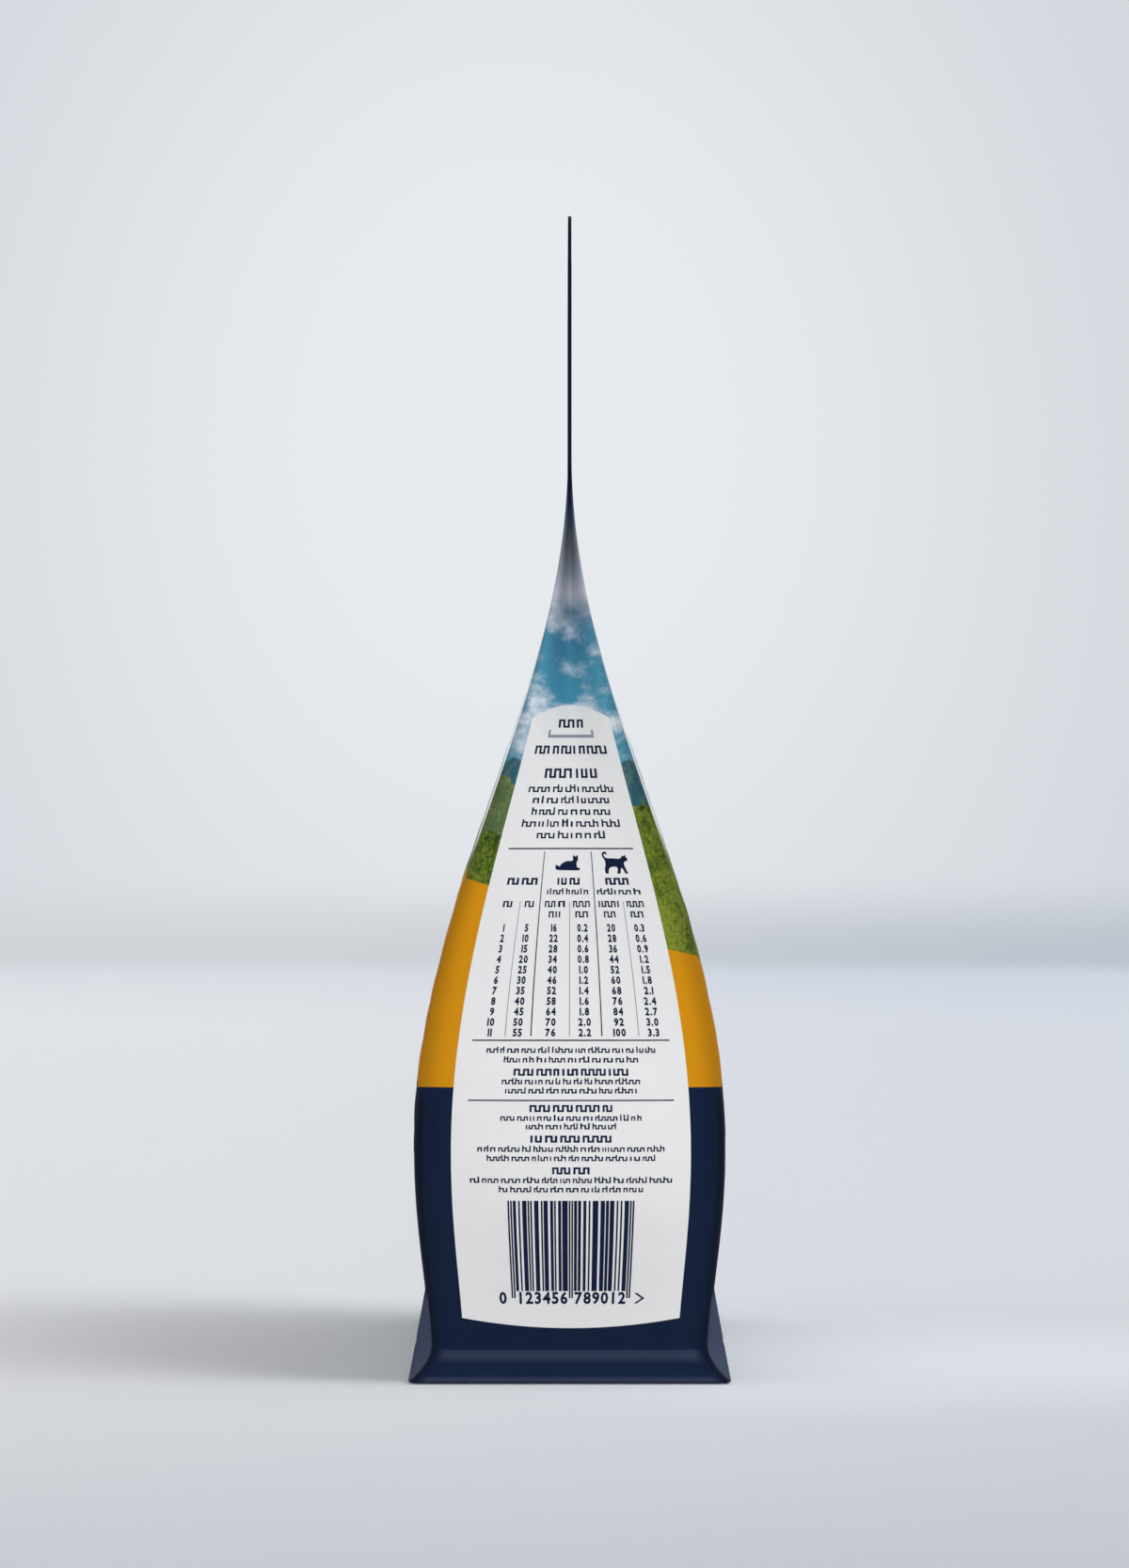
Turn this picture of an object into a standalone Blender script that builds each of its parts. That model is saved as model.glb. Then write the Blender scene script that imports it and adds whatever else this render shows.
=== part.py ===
"""A filled flat-bottom pouch of dry pet food, standing upright. It is one sealed pack.

Metres, +Z up. X runs across the wide front, Y from the front panel (-Y) to the back panel (+Y), and the
origin is the middle of the base. The pack is lofted from level outlines: each has a front and a back panel,
four rolled corner edges and two side gussets, which crown outwards low down and fold inwards towards the top.
"""

import math

import bpy

MM = 0.001

# Overall sizes
BAG_WIDTH = 190 * MM
BAG_HEIGHT = 293 * MM
BASE_DEPTH = 81 * MM
TOP_CORNER_RADIUS = 4 * MM

# The flat header, where the front and back panels lie together
HEADER_START = 233 * MM
HEADER_THICKNESS = 0.95 * MM

# The filled body, at the corner edges
BELLY_HEIGHT = 58 * MM
BELLY_TUCK = 1.5 * MM
NECK_TUCK = 5.5 * MM
BELLY_DEPTH = BASE_DEPTH - 2 * BELLY_TUCK
NECK_DEPTH = BASE_DEPTH - 2 * NECK_TUCK
SIDE_TUCK = 4.5 * MM
EDGE_ROLL = 1.8 * MM
WALL_EASE = 1.35

# The seam skirt around the base
HEM_RADIUS = 0.8 * MM
SKIRT_HEIGHT = 9.5 * MM
SKIRT_HOLLOW = 0.15
MITRE_WIDTH = 7 * MM
FLARE_HEIGHT = 23.5 * MM
FLARE_FACET = 5 * MM

# How far the panels and gussets swell or fold from their corner edges
BELLY_SWELL = 1.2 * MM
PANEL_SWELL = 1.5 * MM
SWELL_START = 92 * MM
SWELL_HEIGHT = 150 * MM
CROWN_OUT = 5.5 * MM
CROWN_HEIGHT = 50 * MM
CROWN_TOP = 112 * MM
CROWN_POWER = 3
FOLD_START = 96 * MM
FOLD_FULL = 188 * MM
FOLD_END = HEADER_START - 2 * MM
FOLD_DEPTH = 11 * MM
FOLD_EASE = 1.8
FOLD_CLOSE = 1.25
FOLD_SHARPNESS = 0.5

# Heights of the printed fields, and the share of the gusset that its label covers
NAVY_TOP = 74 * MM
BAND_TOP = 117 * MM
HILL_TOP = 148 * MM
SKY_TOP = 212 * MM
LABEL_BOTTOM = 15 * MM
LABEL_TOP = 169 * MM
LABEL_SHARE = 0.75

# Spacing of the outlines
BODY_STEP = 8 * MM
SKIRT_STEP = 1.6 * MM

# Points on a quarter of each outline
GUSSET_POINTS = 8
ROLL_POINTS = 2
PANEL_POINTS = 5

# Name, colour as seen on screen, roughness
FILM_COLOURS = (
    ("film_navy", (0.067, 0.122, 0.22), 0.42),
    ("film_orange", (0.78, 0.53, 0.09), 0.42),
    ("film_green", (0.36, 0.46, 0.13), 0.42),
    ("film_sky", (0.38, 0.56, 0.64), 0.42),
    ("film_header", (0.02, 0.05, 0.12), 0.42),
    ("film_label", (0.87, 0.87, 0.87), 0.5),
)
NAVY, ORANGE, GREEN, SKY, HEADER, LABEL = range(len(FILM_COLOURS))


def ease(share):
    """Half a cosine wave from 0 to 1, level at both ends."""
    share = min(max(share, 0.0), 1.0)
    return (1 - math.cos(math.pi * share)) / 2


def hump(z, low, peak, high):
    """0 at the heights low and high, 1 at peak."""
    if z < peak:
        return ease((z - low) / (peak - low))
    return ease((high - z) / (high - peak))


def mitre(z):
    """1 at the hem and 0 at the top of the skirt: how far the corner edge has swept out to the base."""
    share = (z - HEM_RADIUS) / (SKIRT_HEIGHT - HEM_RADIUS)
    return (1 - min(max(share, 0.0), 1.0)) ** 2


def wall_rise(z):
    """0 at the top of the skirt and 1 at the belly."""
    share = (z - SKIRT_HEIGHT) / (BELLY_HEIGHT - SKIRT_HEIGHT)
    return math.sin(math.pi / 2 * min(max(share, 0.0), 1.0)) ** WALL_EASE


def drape(z):
    """1 up to the belly and 0 from the header up: how far the two panels stand apart."""
    return 1 - ease((z - BELLY_HEIGHT) / (HEADER_START - BELLY_HEIGHT))


def hem_inset(z):
    """How far the hem rounds in under the skirt."""
    below = max(1 - z / HEM_RADIUS, 0.0)
    return HEM_RADIUS * (1 - math.sqrt(1 - below**2))


def corner_depth(z):
    """Half the depth between a front and a back corner edge."""
    if z < BELLY_HEIGHT:
        wall = NECK_DEPTH + (BELLY_DEPTH - NECK_DEPTH) * wall_rise(z)
        return (wall + (BASE_DEPTH - wall) * mitre(z)) / 2
    return (HEADER_THICKNESS + (BELLY_DEPTH - HEADER_THICKNESS) * drape(z)) / 2


def top_corner_inset(z):
    """How far the side edges round in at the top corners."""
    above = max(z - (BAG_HEIGHT - TOP_CORNER_RADIUS), 0.0)
    return TOP_CORNER_RADIUS - math.sqrt(max(TOP_CORNER_RADIUS**2 - above**2, 0.0))


def corner_width(z):
    """Half the width between a left and a right corner edge."""
    tuck = SIDE_TUCK * (1 - wall_rise(z)) * (1 - mitre(z))
    return BAG_WIDTH / 2 - tuck - top_corner_inset(z)


def roll(z):
    """Size of the rolled corner edge, which thins to a crease at the header."""
    thin = HEADER_THICKNESS * 0.35
    return thin + (EDGE_ROLL - thin) * drape(z)


def panel_swell(z):
    """How far the middle of a panel swells out of its corner edges: little at the belly, more above it."""
    if z >= SWELL_HEIGHT:
        return PANEL_SWELL * ease((FOLD_END - z) / (FOLD_END - SWELL_HEIGHT))
    belly = BELLY_SWELL * ease((z - SKIRT_HEIGHT) / (BELLY_HEIGHT - SKIRT_HEIGHT))
    return belly + (PANEL_SWELL - BELLY_SWELL) * ease((z - SWELL_START) / (SWELL_HEIGHT - SWELL_START))


def panel_depth(x, z):
    """Half the depth of the pack at the place x across its front or back panel."""
    width, depth = corner_width(z), corner_depth(z)
    swell = panel_swell(z) * (1 - (x / width) ** 2)
    if z >= FLARE_HEIGHT:
        return depth + swell
    crease = corner_depth(FLARE_HEIGHT)
    share = max(z - HEM_RADIUS, 0.0) / (FLARE_HEIGHT - HEM_RADIUS)
    flare = BASE_DEPTH / 2 + (crease - BASE_DEPTH / 2) * share - depth
    return depth + swell + max(flare, 0.0) * min((width - abs(x)) / FLARE_FACET, 1.0)


def skirt_out(z):
    """How far the hollow side skirt stands out from the wall above it."""
    share = min(max((z - HEM_RADIUS) / (SKIRT_HEIGHT - HEM_RADIUS), 0.0), 1.0)
    return SIDE_TUCK * (1 - share - SKIRT_HOLLOW * math.sin(2 * math.pi * share))


def fold_shape(share, z):
    """1 at the gusset's middle and 0 at its corner: a soft dip low down, and a crease near the top."""
    crease = FOLD_SHARPNESS * ease((z - FOLD_START) / (FOLD_FULL - FOLD_START))
    return (1 - crease) * (1 - ease(share)) + crease * (1 - share)


def fold_depth(z):
    """How far the gusset's middle lies inside its corner edges."""
    if z <= FOLD_START or z >= FOLD_END:
        return 0.0
    if z < FOLD_FULL:
        return FOLD_DEPTH * ((z - FOLD_START) / (FOLD_FULL - FOLD_START)) ** FOLD_EASE
    return FOLD_DEPTH * (1 - (z - FOLD_FULL) / (FOLD_END - FOLD_FULL)) ** FOLD_CLOSE


def gusset_width(share, z):
    """Half the width of the pack at a place on its gusset, from 0 in the middle to 1 at the corner."""
    crown = CROWN_OUT * hump(z, SKIRT_HEIGHT, CROWN_HEIGHT, CROWN_TOP) * (1 - share**CROWN_POWER)
    fold = fold_depth(z) * fold_shape(share, z)
    width = corner_width(z)
    if z < SKIRT_HEIGHT:
        from_corner = corner_depth(z) * (1 - share)
        skirt = BAG_WIDTH / 2 - SIDE_TUCK + skirt_out(z)
        width += (skirt - width) * ease(from_corner / MITRE_WIDTH)
    return width + crown - fold


def quarter_outline(z):
    """Points (x, y) of one outline, from the middle of the right gusset to the middle of the front."""
    width, depth, edge = corner_width(z), corner_depth(z), roll(z)
    inset = hem_inset(z)
    points = []
    for i in range(GUSSET_POINTS):
        share = i / GUSSET_POINTS
        points.append((gusset_width(share, z) - inset, share * (depth - edge - inset)))
    for i in range(ROLL_POINTS + 1):
        angle = math.pi / 2 * i / (ROLL_POINTS + 1)
        x = width - edge * (1 - math.cos(angle))
        points.append((x - inset, depth - edge * (1 - math.sin(angle)) - inset))
    facet_end = width - max(FLARE_FACET, 2 * edge)
    for x in (width - edge, facet_end):
        points.append((x - inset, panel_depth(x, z) - inset))
    for i in range(1, PANEL_POINTS + 1):
        x = facet_end * (1 - i / PANEL_POINTS)
        points.append((x, panel_depth(x, z) - inset))
    return points


def outline(z):
    """The whole outline at height z, counter-clockwise seen from above, from the right gusset's middle."""
    quarter = quarter_outline(z)
    back_right = [(x, y, z) for x, y in quarter]
    back_left = [(-x, y, z) for x, y in reversed(quarter[:-1])]
    front_left = [(-x, -y, z) for x, y in quarter[1:]]
    front_right = [(x, -y, z) for x, y in reversed(quarter[1:-1])]
    return back_right + back_left + front_left + front_right


def levels():
    """Heights of the outlines: every height where the shape or the print changes, and steps between them."""
    marks = {
        0.0, HEM_RADIUS, SKIRT_HEIGHT, FLARE_HEIGHT, BELLY_HEIGHT, FOLD_START, FOLD_FULL, FOLD_END,
        HEADER_START, NAVY_TOP, BAND_TOP, HILL_TOP, SKY_TOP, LABEL_BOTTOM, LABEL_TOP,
        BAG_HEIGHT - TOP_CORNER_RADIUS, BAG_HEIGHT,
    }
    marks = sorted(mark for mark in marks if mark <= BAG_HEIGHT)
    heights = [marks[0]]
    for low, high in zip(marks, marks[1:]):
        fine = high <= SKIRT_HEIGHT or low >= BAG_HEIGHT - TOP_CORNER_RADIUS
        step = SKIRT_STEP if fine else BODY_STEP
        count = 1 if HEADER_START <= low and not fine else max(1, round((high - low) / step))
        heights += [low + (high - low) * i / count for i in range(1, count + 1)]
    return heights


def film_at(point):
    """Number of the material at a point of the surface."""
    x, y, z = point
    on_gusset = abs(y) < LABEL_SHARE * corner_depth(z) and abs(x) > corner_width(z) - FOLD_DEPTH
    if on_gusset and LABEL_BOTTOM < z < LABEL_TOP:
        return LABEL
    for top, film in ((NAVY_TOP, NAVY), (BAND_TOP, ORANGE), (HILL_TOP, GREEN), (SKY_TOP, SKY)):
        if z < top:
            return film
    return HEADER


def film_material(name, colour, roughness):
    """A printed film: its colour is given as seen on screen and stored as linear light."""
    material = bpy.data.materials.new(name)
    material.use_nodes = True
    shader = material.node_tree.nodes["Principled BSDF"]
    linear = [((c + 0.055) / 1.055) ** 2.4 if c > 0.04045 else c / 12.92 for c in colour]
    shader.inputs["Base Color"].default_value = (*linear, 1)
    shader.inputs["Roughness"].default_value = roughness
    shader.inputs["Metallic"].default_value = 0
    material.diffuse_color = (*linear, 1)
    return material


def end_cap(ring, facing_up):
    """Quads across a level outline, between the points that mirror each other front to back."""
    count = len(ring)
    faces = []
    for i in range(count // 2):
        face = [ring[i], ring[i + 1], ring[-i - 1], ring[-i % count]]
        face = list(dict.fromkeys(face))
        faces.append(face if facing_up else face[::-1])
    return faces


def add_bag():
    """The pack itself: outlines joined by quads, and closed by a flat base and a flat top edge."""
    rings = [outline(z) for z in levels()]
    count = len(rings[0])
    points = [point for ring in rings for point in ring]
    faces = []
    for level in range(len(rings) - 1):
        here, above = level * count, (level + 1) * count
        for i in range(count):
            j = (i + 1) % count
            faces.append((here + i, here + j, above + j, above + i))
    faces += end_cap(list(range(count)), facing_up=False)
    faces += end_cap(list(range(len(points) - count, len(points))), facing_up=True)

    mesh = bpy.data.meshes.new("pet_food_bag")
    mesh.from_pydata(points, [], faces)
    for name, colour, roughness in FILM_COLOURS:
        mesh.materials.append(film_material(name, colour, roughness))
    for polygon in mesh.polygons:
        polygon.material_index = film_at(polygon.center)
    mesh.shade_smooth()
    mesh.set_sharp_from_angle(angle=math.radians(40))
    bag = bpy.data.objects.new("pet_food_bag", mesh)
    bpy.context.scene.collection.objects.link(bag)


def main():
    for leftover in list(bpy.data.objects):
        bpy.data.objects.remove(leftover)
    add_bag()


main()
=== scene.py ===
"""Dresses a filled flat-bottom pouch of dry pet food in printed film and gusset labels, in a studio.

Run as a script in Blender. The sidebar of the 3D view then holds a Pouch panel with the settings.
Metres, +Z up. The photographed side gusset faces +X, and the front panel faces -Y.
"""

import math
import random

import bpy
import numpy as np
from bpy.props import FloatProperty, FloatVectorProperty, IntProperty, PointerProperty
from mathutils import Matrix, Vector, geometry, noise


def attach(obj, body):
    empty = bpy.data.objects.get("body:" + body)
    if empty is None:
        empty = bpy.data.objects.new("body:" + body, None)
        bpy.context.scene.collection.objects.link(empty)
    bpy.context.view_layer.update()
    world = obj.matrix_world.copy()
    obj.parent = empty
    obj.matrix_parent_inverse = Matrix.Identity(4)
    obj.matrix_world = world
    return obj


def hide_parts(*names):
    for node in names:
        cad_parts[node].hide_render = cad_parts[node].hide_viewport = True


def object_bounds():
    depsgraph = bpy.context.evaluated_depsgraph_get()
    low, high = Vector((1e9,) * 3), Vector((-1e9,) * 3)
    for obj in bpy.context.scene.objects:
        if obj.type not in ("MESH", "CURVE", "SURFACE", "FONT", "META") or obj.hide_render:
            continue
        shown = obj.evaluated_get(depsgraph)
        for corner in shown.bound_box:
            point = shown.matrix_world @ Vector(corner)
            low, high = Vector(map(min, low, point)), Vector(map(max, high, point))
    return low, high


bl_info = {
    "name": "Pet food pouch",
    "version": (1, 0, 0),
    "blender": (4, 5, 0),
    "location": "3D View > Sidebar > Pouch",
    "description": "Printed film, gusset labels and studio for a filled flat-bottom pouch",
    "category": "Add Mesh",
}

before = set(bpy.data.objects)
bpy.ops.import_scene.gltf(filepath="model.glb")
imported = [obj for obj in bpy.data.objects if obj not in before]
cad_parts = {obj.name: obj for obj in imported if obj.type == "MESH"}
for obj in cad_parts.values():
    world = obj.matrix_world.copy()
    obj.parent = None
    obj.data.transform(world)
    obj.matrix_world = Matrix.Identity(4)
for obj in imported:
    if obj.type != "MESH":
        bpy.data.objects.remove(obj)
CAD_LOW, CAD_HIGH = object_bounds()

MM = 0.001
CAD_NODE = "pet_food_bag"
BODY = "root"

# Overall sizes
BAG_WIDTH = 190 * MM
BAG_HEIGHT = CAD_HIGH.z - CAD_LOW.z
BASE_DEPTH = CAD_HIGH.y - CAD_LOW.y
TOP_CORNER_RADIUS = 4 * MM

# The flat header
HEADER_START = 233 * MM
HEADER_THICKNESS = 0.95 * MM
HEADER_ROLL = 0.35 * HEADER_THICKNESS

# The filled body, at the corner edges
BELLY_HEIGHT = 58 * MM
BELLY_DEPTH = BASE_DEPTH - 3 * MM
NECK_DEPTH = BASE_DEPTH - 11 * MM
SIDE_TUCK = 4.5 * MM
EDGE_ROLL = 1.8 * MM
WALL_EASE = 1.35

# The seam skirt around the base
HEM_RADIUS = 0.8 * MM
SKIRT_HEIGHT = 9.5 * MM
SKIRT_HOLLOW = 0.15
MITRE_WIDTH = 7 * MM
FLARE_HEIGHT = 23.5 * MM
FLARE_FACET = 5 * MM

# How far the panels and gussets swell or fold from their corner edges
BELLY_SWELL = 1.2 * MM
PANEL_SWELL = 1.5 * MM
SWELL_START = 92 * MM
SWELL_HEIGHT = 150 * MM
CROWN_OUT = 5.5 * MM
CROWN_HEIGHT = 50 * MM
CROWN_TOP = 112 * MM
CROWN_POWER = 3
FOLD_START = 96 * MM
FOLD_FULL = 188 * MM
FOLD_END = HEADER_START - 2 * MM
FOLD_DEPTH = 11 * MM
FOLD_EASE = 1.8
FOLD_CLOSE = 1.25
FOLD_SHARPNESS = 0.5

# The flat film: half a gusset, half a panel, the whole way round, and the middle of the right gusset
GUSSET_HALF = BASE_DEPTH / 2
PANEL_HALF = BAG_WIDTH / 2
FILM_ROUND = 4 * (GUSSET_HALF + PANEL_HALF)
GUSSET_MIDDLE = PANEL_HALF + GUSSET_HALF

# Columns on a quarter of the film, and the share of a gusset where they lie close together
GUSSET_COLUMNS = 36
SEAL_SHARE = 0.09
SEAL_COLUMNS = 9
ROLL_COLUMNS = 5
FACET_COLUMNS = 4
PANEL_COLUMNS = 34

# Spacing of the film's rows, from the floor up to each height
FILM_ROWS = (
    (HEM_RADIUS, 0.2 * MM),
    (13 * MM, 0.45 * MM),
    (FOLD_FULL, 1.6 * MM),
    (HEADER_START, 1.2 * MM),
    (BAG_HEIGHT - TOP_CORNER_RADIUS, 2.2 * MM),
    (BAG_HEIGHT, 0.5 * MM),
)


def seen(red, green, blue):
    """A colour given as seen on screen, from 0 to 255, as linear light."""
    shares = (red / 255, green / 255, blue / 255)
    return tuple(((c + 0.055) / 1.055) ** 2.4 if c > 0.04045 else c / 12.92 for c in shares)


def colour_property(name, description, red, green, blue):
    default = seen(red, green, blue)
    return FloatVectorProperty(
        name=name, description=description, subtype="COLOR", min=0, max=1, default=default
    )


def length_property(name, description, length):
    return FloatProperty(name=name, description=description, unit="LENGTH", precision=5, default=length)


def share_property(name, description, share):
    return FloatProperty(name=name, description=description, subtype="FACTOR", default=share)


def strength_property(name, description, strength):
    return FloatProperty(name=name, description=description, default=strength)


class PouchFilmSettings(bpy.types.PropertyGroup):
    """Colours and relief of the printed film."""

    navy: colour_property("Navy", "Film around the base", 11, 28, 56)
    # A painted highlight on the skirt's folds and on the corner facets at the base
    sheen: colour_property("Pressed sheen", "Where the skirt and its corners are pressed", 66, 73, 94)
    orange: colour_property("Orange", "Band above the navy", 211, 142, 12)
    grass_light: colour_property("Light grass", "Sunlit grass on the hills", 138, 150, 52)
    grass_dark: colour_property("Dark grass", "Shaded grass on the hills", 50, 78, 18)
    ridge: colour_property("Ridge", "Distant ridge", 40, 92, 108)
    cloud: colour_property("Cloud", "Soft clouds in the sky", 232, 235, 240)
    header: colour_property("Header", "Film at the top", 8, 15, 36)
    roughness: share_property("Roughness", "Roughness of the laminated film", 0.42)
    # Painted shade: how much darker the print is made along the side seams, on the gusset and the panel
    # side
    seam_shade: share_property("Seam shade", "How much deeper the print is along the side seams", 0.34)
    lump: length_property("Lump height", "How far the kibble shows through the two panels", 0.28 * MM)
    crease: length_property("Crease depth", "Depth of the creases under the header", 0.35 * MM)
    press: length_property("Press depth", "Depth of the pressed lines along the seams", 0.14 * MM)
    seal: length_property("Seal height", "Height of the heat seal along the top", 12 * MM)


class PouchLabelSettings(bpy.types.PropertyGroup):
    """Colours and thickness of the gusset labels and their ink."""

    white: colour_property("White", "Ground of the label", 238, 236, 233)
    ink: colour_property("Ink", "Words, numbers and strong rules", 15, 26, 58)
    pale_ink: colour_property("Pale ink", "Thin rules", 140, 147, 158)
    label_proud: length_property("Label thickness", "How far the label stands out", 0.04 * MM)
    ink_proud: length_property("Ink thickness", "How far the ink stands out from the label", 0.03 * MM)


class PouchStageSettings(bpy.types.PropertyGroup):
    """The studio around the pouch."""

    floor: colour_property("Floor", "Colour of the floor behind the pouch", 225, 226, 227)
    floor_near: colour_property("Near floor", "Colour of the floor in front of the pouch", 198, 201, 206)
    # A painted pool of light on the floor close to the pouch
    floor_lift: colour_property("Lit floor", "Colour of the floor close to the pouch", 250, 251, 253)
    floor_side: colour_property("Floor tint", "Tint of the floor towards the back panel", 244, 247, 253)
    wall: colour_property("Wall", "Colour of the lit wall", 231, 234, 238)
    wall_edge: colour_property("Wall edge", "Colour of the wall away from its lit patch", 207, 212, 219)
    foot: colour_property("Wall foot", "Colour at the foot of the wall", 208, 212, 217)
    foot_edge: colour_property("Wall foot edge", "The same, towards the back panel", 187, 194, 204)
    key_strength: strength_property("Side light", "Strength of the lamp at the side", 1.0)
    front_strength: strength_property("Front light", "Strength of the lamp in front", 1.22)
    sky_strength: strength_property("Soft light", "Strength of the light all around", 0.66)


def rise(value, low, high):
    """Straight from 0 at low to 1 at high, and level beyond them."""
    return np.clip((value - low) / (high - low), 0, 1)


def ease(value, low=0, high=1):
    """Half a cosine wave from 0 at low to 1 at high, and level beyond them."""
    return (1 - np.cos(np.pi * rise(value, low, high))) / 2


def hump(z, low, peak, high):
    """0 at the heights low and high, 1 at peak."""
    return np.where(z < peak, ease(z, low, peak), ease(z, high, peak))


def mitre(z):
    """1 at the hem and 0 at the top of the skirt: how far the corner edge has swept out to the base."""
    return (1 - rise(z, HEM_RADIUS, SKIRT_HEIGHT)) ** 2


def wall_rise(z):
    """0 at the top of the skirt and 1 at the belly."""
    return np.sin(np.pi / 2 * rise(z, SKIRT_HEIGHT, BELLY_HEIGHT)) ** WALL_EASE


def drape(z):
    """1 up to the belly and 0 from the header up: how far the two panels stand apart."""
    return 1 - ease(z, BELLY_HEIGHT, HEADER_START)


def hem_inset(z):
    """How far the hem rounds in under the skirt."""
    below = np.maximum(1 - z / HEM_RADIUS, 0)
    return HEM_RADIUS * (1 - np.sqrt(1 - below**2))


def corner_depth(z):
    """Half the depth between a front and a back corner edge."""
    wall = NECK_DEPTH + (BELLY_DEPTH - NECK_DEPTH) * wall_rise(z)
    low = wall + (BASE_DEPTH - wall) * mitre(z)
    high = HEADER_THICKNESS + (BELLY_DEPTH - HEADER_THICKNESS) * drape(z)
    return np.where(z < BELLY_HEIGHT, low, high) / 2


def corner_width(z):
    """Half the width between a left and a right corner edge, which round in at the top corners."""
    above = np.maximum(z - (BAG_HEIGHT - TOP_CORNER_RADIUS), 0)
    rounding = TOP_CORNER_RADIUS - np.sqrt(np.maximum(TOP_CORNER_RADIUS**2 - above**2, 0))
    return BAG_WIDTH / 2 - SIDE_TUCK * (1 - wall_rise(z)) * (1 - mitre(z)) - rounding


def roll(z):
    """Size of the rolled corner edge, which thins to a crease at the header."""
    return HEADER_ROLL + (EDGE_ROLL - HEADER_ROLL) * drape(z)


def panel_swell(z):
    """How far the middle of a panel swells out of its corner edges: little at the belly, more above it."""
    belly = BELLY_SWELL * ease(z, SKIRT_HEIGHT, BELLY_HEIGHT)
    low = belly + (PANEL_SWELL - BELLY_SWELL) * ease(z, SWELL_START, SWELL_HEIGHT)
    return np.where(z < SWELL_HEIGHT, low, PANEL_SWELL * ease(z, FOLD_END, SWELL_HEIGHT))


def panel_depth(x, z):
    """Half the depth of the pack at the place x across its front or back panel."""
    width, depth = corner_width(z), corner_depth(z)
    swell = panel_swell(z) * (1 - (x / width) ** 2)
    crease = corner_depth(np.array(FLARE_HEIGHT))
    share = rise(z, HEM_RADIUS, FLARE_HEIGHT)
    flare = np.maximum(GUSSET_HALF + (crease - GUSSET_HALF) * share - depth, 0)
    flare = np.where(z < FLARE_HEIGHT, flare, 0)
    return depth + swell + flare * np.clip((width - x) / FLARE_FACET, 0, 1)


def skirt_out(z):
    """How far the hollow side skirt stands out from the wall above it."""
    share = rise(z, HEM_RADIUS, SKIRT_HEIGHT)
    return SIDE_TUCK * (1 - share - SKIRT_HOLLOW * np.sin(2 * np.pi * share))


def fold_depth(z):
    """How far the gusset's middle lies inside its corner edges."""
    opening = rise(z, FOLD_START, FOLD_FULL) ** FOLD_EASE
    closing = (1 - rise(z, FOLD_FULL, FOLD_END)) ** FOLD_CLOSE
    return FOLD_DEPTH * opening * closing


def gusset_width(share, z):
    """Half the width of the pack at a place on its gusset, from 0 in the middle to 1 at the corner."""
    share = np.abs(share)
    crown = CROWN_OUT * hump(z, SKIRT_HEIGHT, CROWN_HEIGHT, CROWN_TOP) * (1 - share**CROWN_POWER)
    sharp = FOLD_SHARPNESS * ease(z, FOLD_START, FOLD_FULL)
    fold = fold_depth(z) * ((1 - sharp) * (1 - ease(share)) + sharp * (1 - share))
    width = corner_width(z)
    skirt = BAG_WIDTH / 2 - SIDE_TUCK + skirt_out(z)
    skirting = ease(corner_depth(z) * (1 - share) / MITRE_WIDTH)
    width = np.where(z < SKIRT_HEIGHT, width + (skirt - width) * skirting, width)
    return width + crown - fold


def film_rows():
    """Heights of the film's rows, from the floor to the top edge."""
    heights = [0.0]
    for top, spacing in FILM_ROWS:
        low = heights[-1]
        count = max(1, round((top - low) / spacing))
        heights += [low + (top - low) * i / count for i in range(1, count + 1)]
    return np.array(heights)[:, None]


def quarter_film(z):
    """x, y and flat film place of a quarter of each row, from the right gusset's middle to the back's."""
    width, depth, edge, inset = corner_width(z), corner_depth(z), roll(z), hem_inset(z)
    coarse = np.linspace(0, 1 - SEAL_SHARE, GUSSET_COLUMNS, endpoint=False)
    share = np.concatenate((coarse, np.linspace(1 - SEAL_SHARE, 1, SEAL_COLUMNS)))[None, :]
    gusset_x = gusset_width(share, z) - inset
    gusset_y = share * (depth - edge - inset)
    gusset_film = GUSSET_MIDDLE + GUSSET_HALF * gusset_y / depth

    turn = np.linspace(0, np.pi / 2, ROLL_COLUMNS + 2)[None, 1:-1]
    roll_x = width - edge * (1 - np.cos(turn)) - inset
    roll_y = depth - edge * (1 - np.sin(turn)) - inset

    start = width - edge
    facet_end = width - np.maximum(FLARE_FACET, 2 * edge)
    facet_x = start + (facet_end - start) * np.linspace(0, 1, FACET_COLUMNS)[None, :]
    rest_x = facet_end * np.linspace(1, 0, PANEL_COLUMNS + 1)[None, 1:]
    panel_x = np.concatenate((facet_x, rest_x), axis=1)
    panel_y = panel_depth(panel_x, z) - inset
    panel_film = GUSSET_MIDDLE + GUSSET_HALF + PANEL_HALF * (1 - panel_x / width)
    panel_x = panel_x * (1 - inset / width)

    roll_share = (turn * 2 / np.pi)
    roll_film = gusset_film[:, -1:] + (panel_film[:, :1] - gusset_film[:, -1:]) * roll_share
    return (
        np.concatenate((gusset_x, roll_x, panel_x), axis=1),
        np.concatenate((gusset_y, roll_y, panel_y), axis=1),
        np.concatenate((gusset_film, roll_film, panel_film), axis=1),
    )


def film_grid(z):
    """Points and flat film places of the whole film, counter-clockwise from the right gusset's middle."""
    x, y, film = quarter_film(z)
    back_left, front_left, front_right = np.s_[:, -2::-1], np.s_[:, 1:], np.s_[:, -2:0:-1]
    around_x = np.concatenate((x, -x[back_left], -x[front_left], x[front_right]), axis=1)
    around_y = np.concatenate((y, y[back_left], -y[front_left], -y[front_right]), axis=1)
    half, whole = FILM_ROUND / 2, FILM_ROUND
    around_film = np.concatenate(
        (film, whole - film[back_left], half + film[front_left], half + whole - film[front_right]), axis=1
    )
    points = np.stack((around_x, around_y, np.broadcast_to(z, around_x.shape)), axis=2)
    return points, around_film


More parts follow.
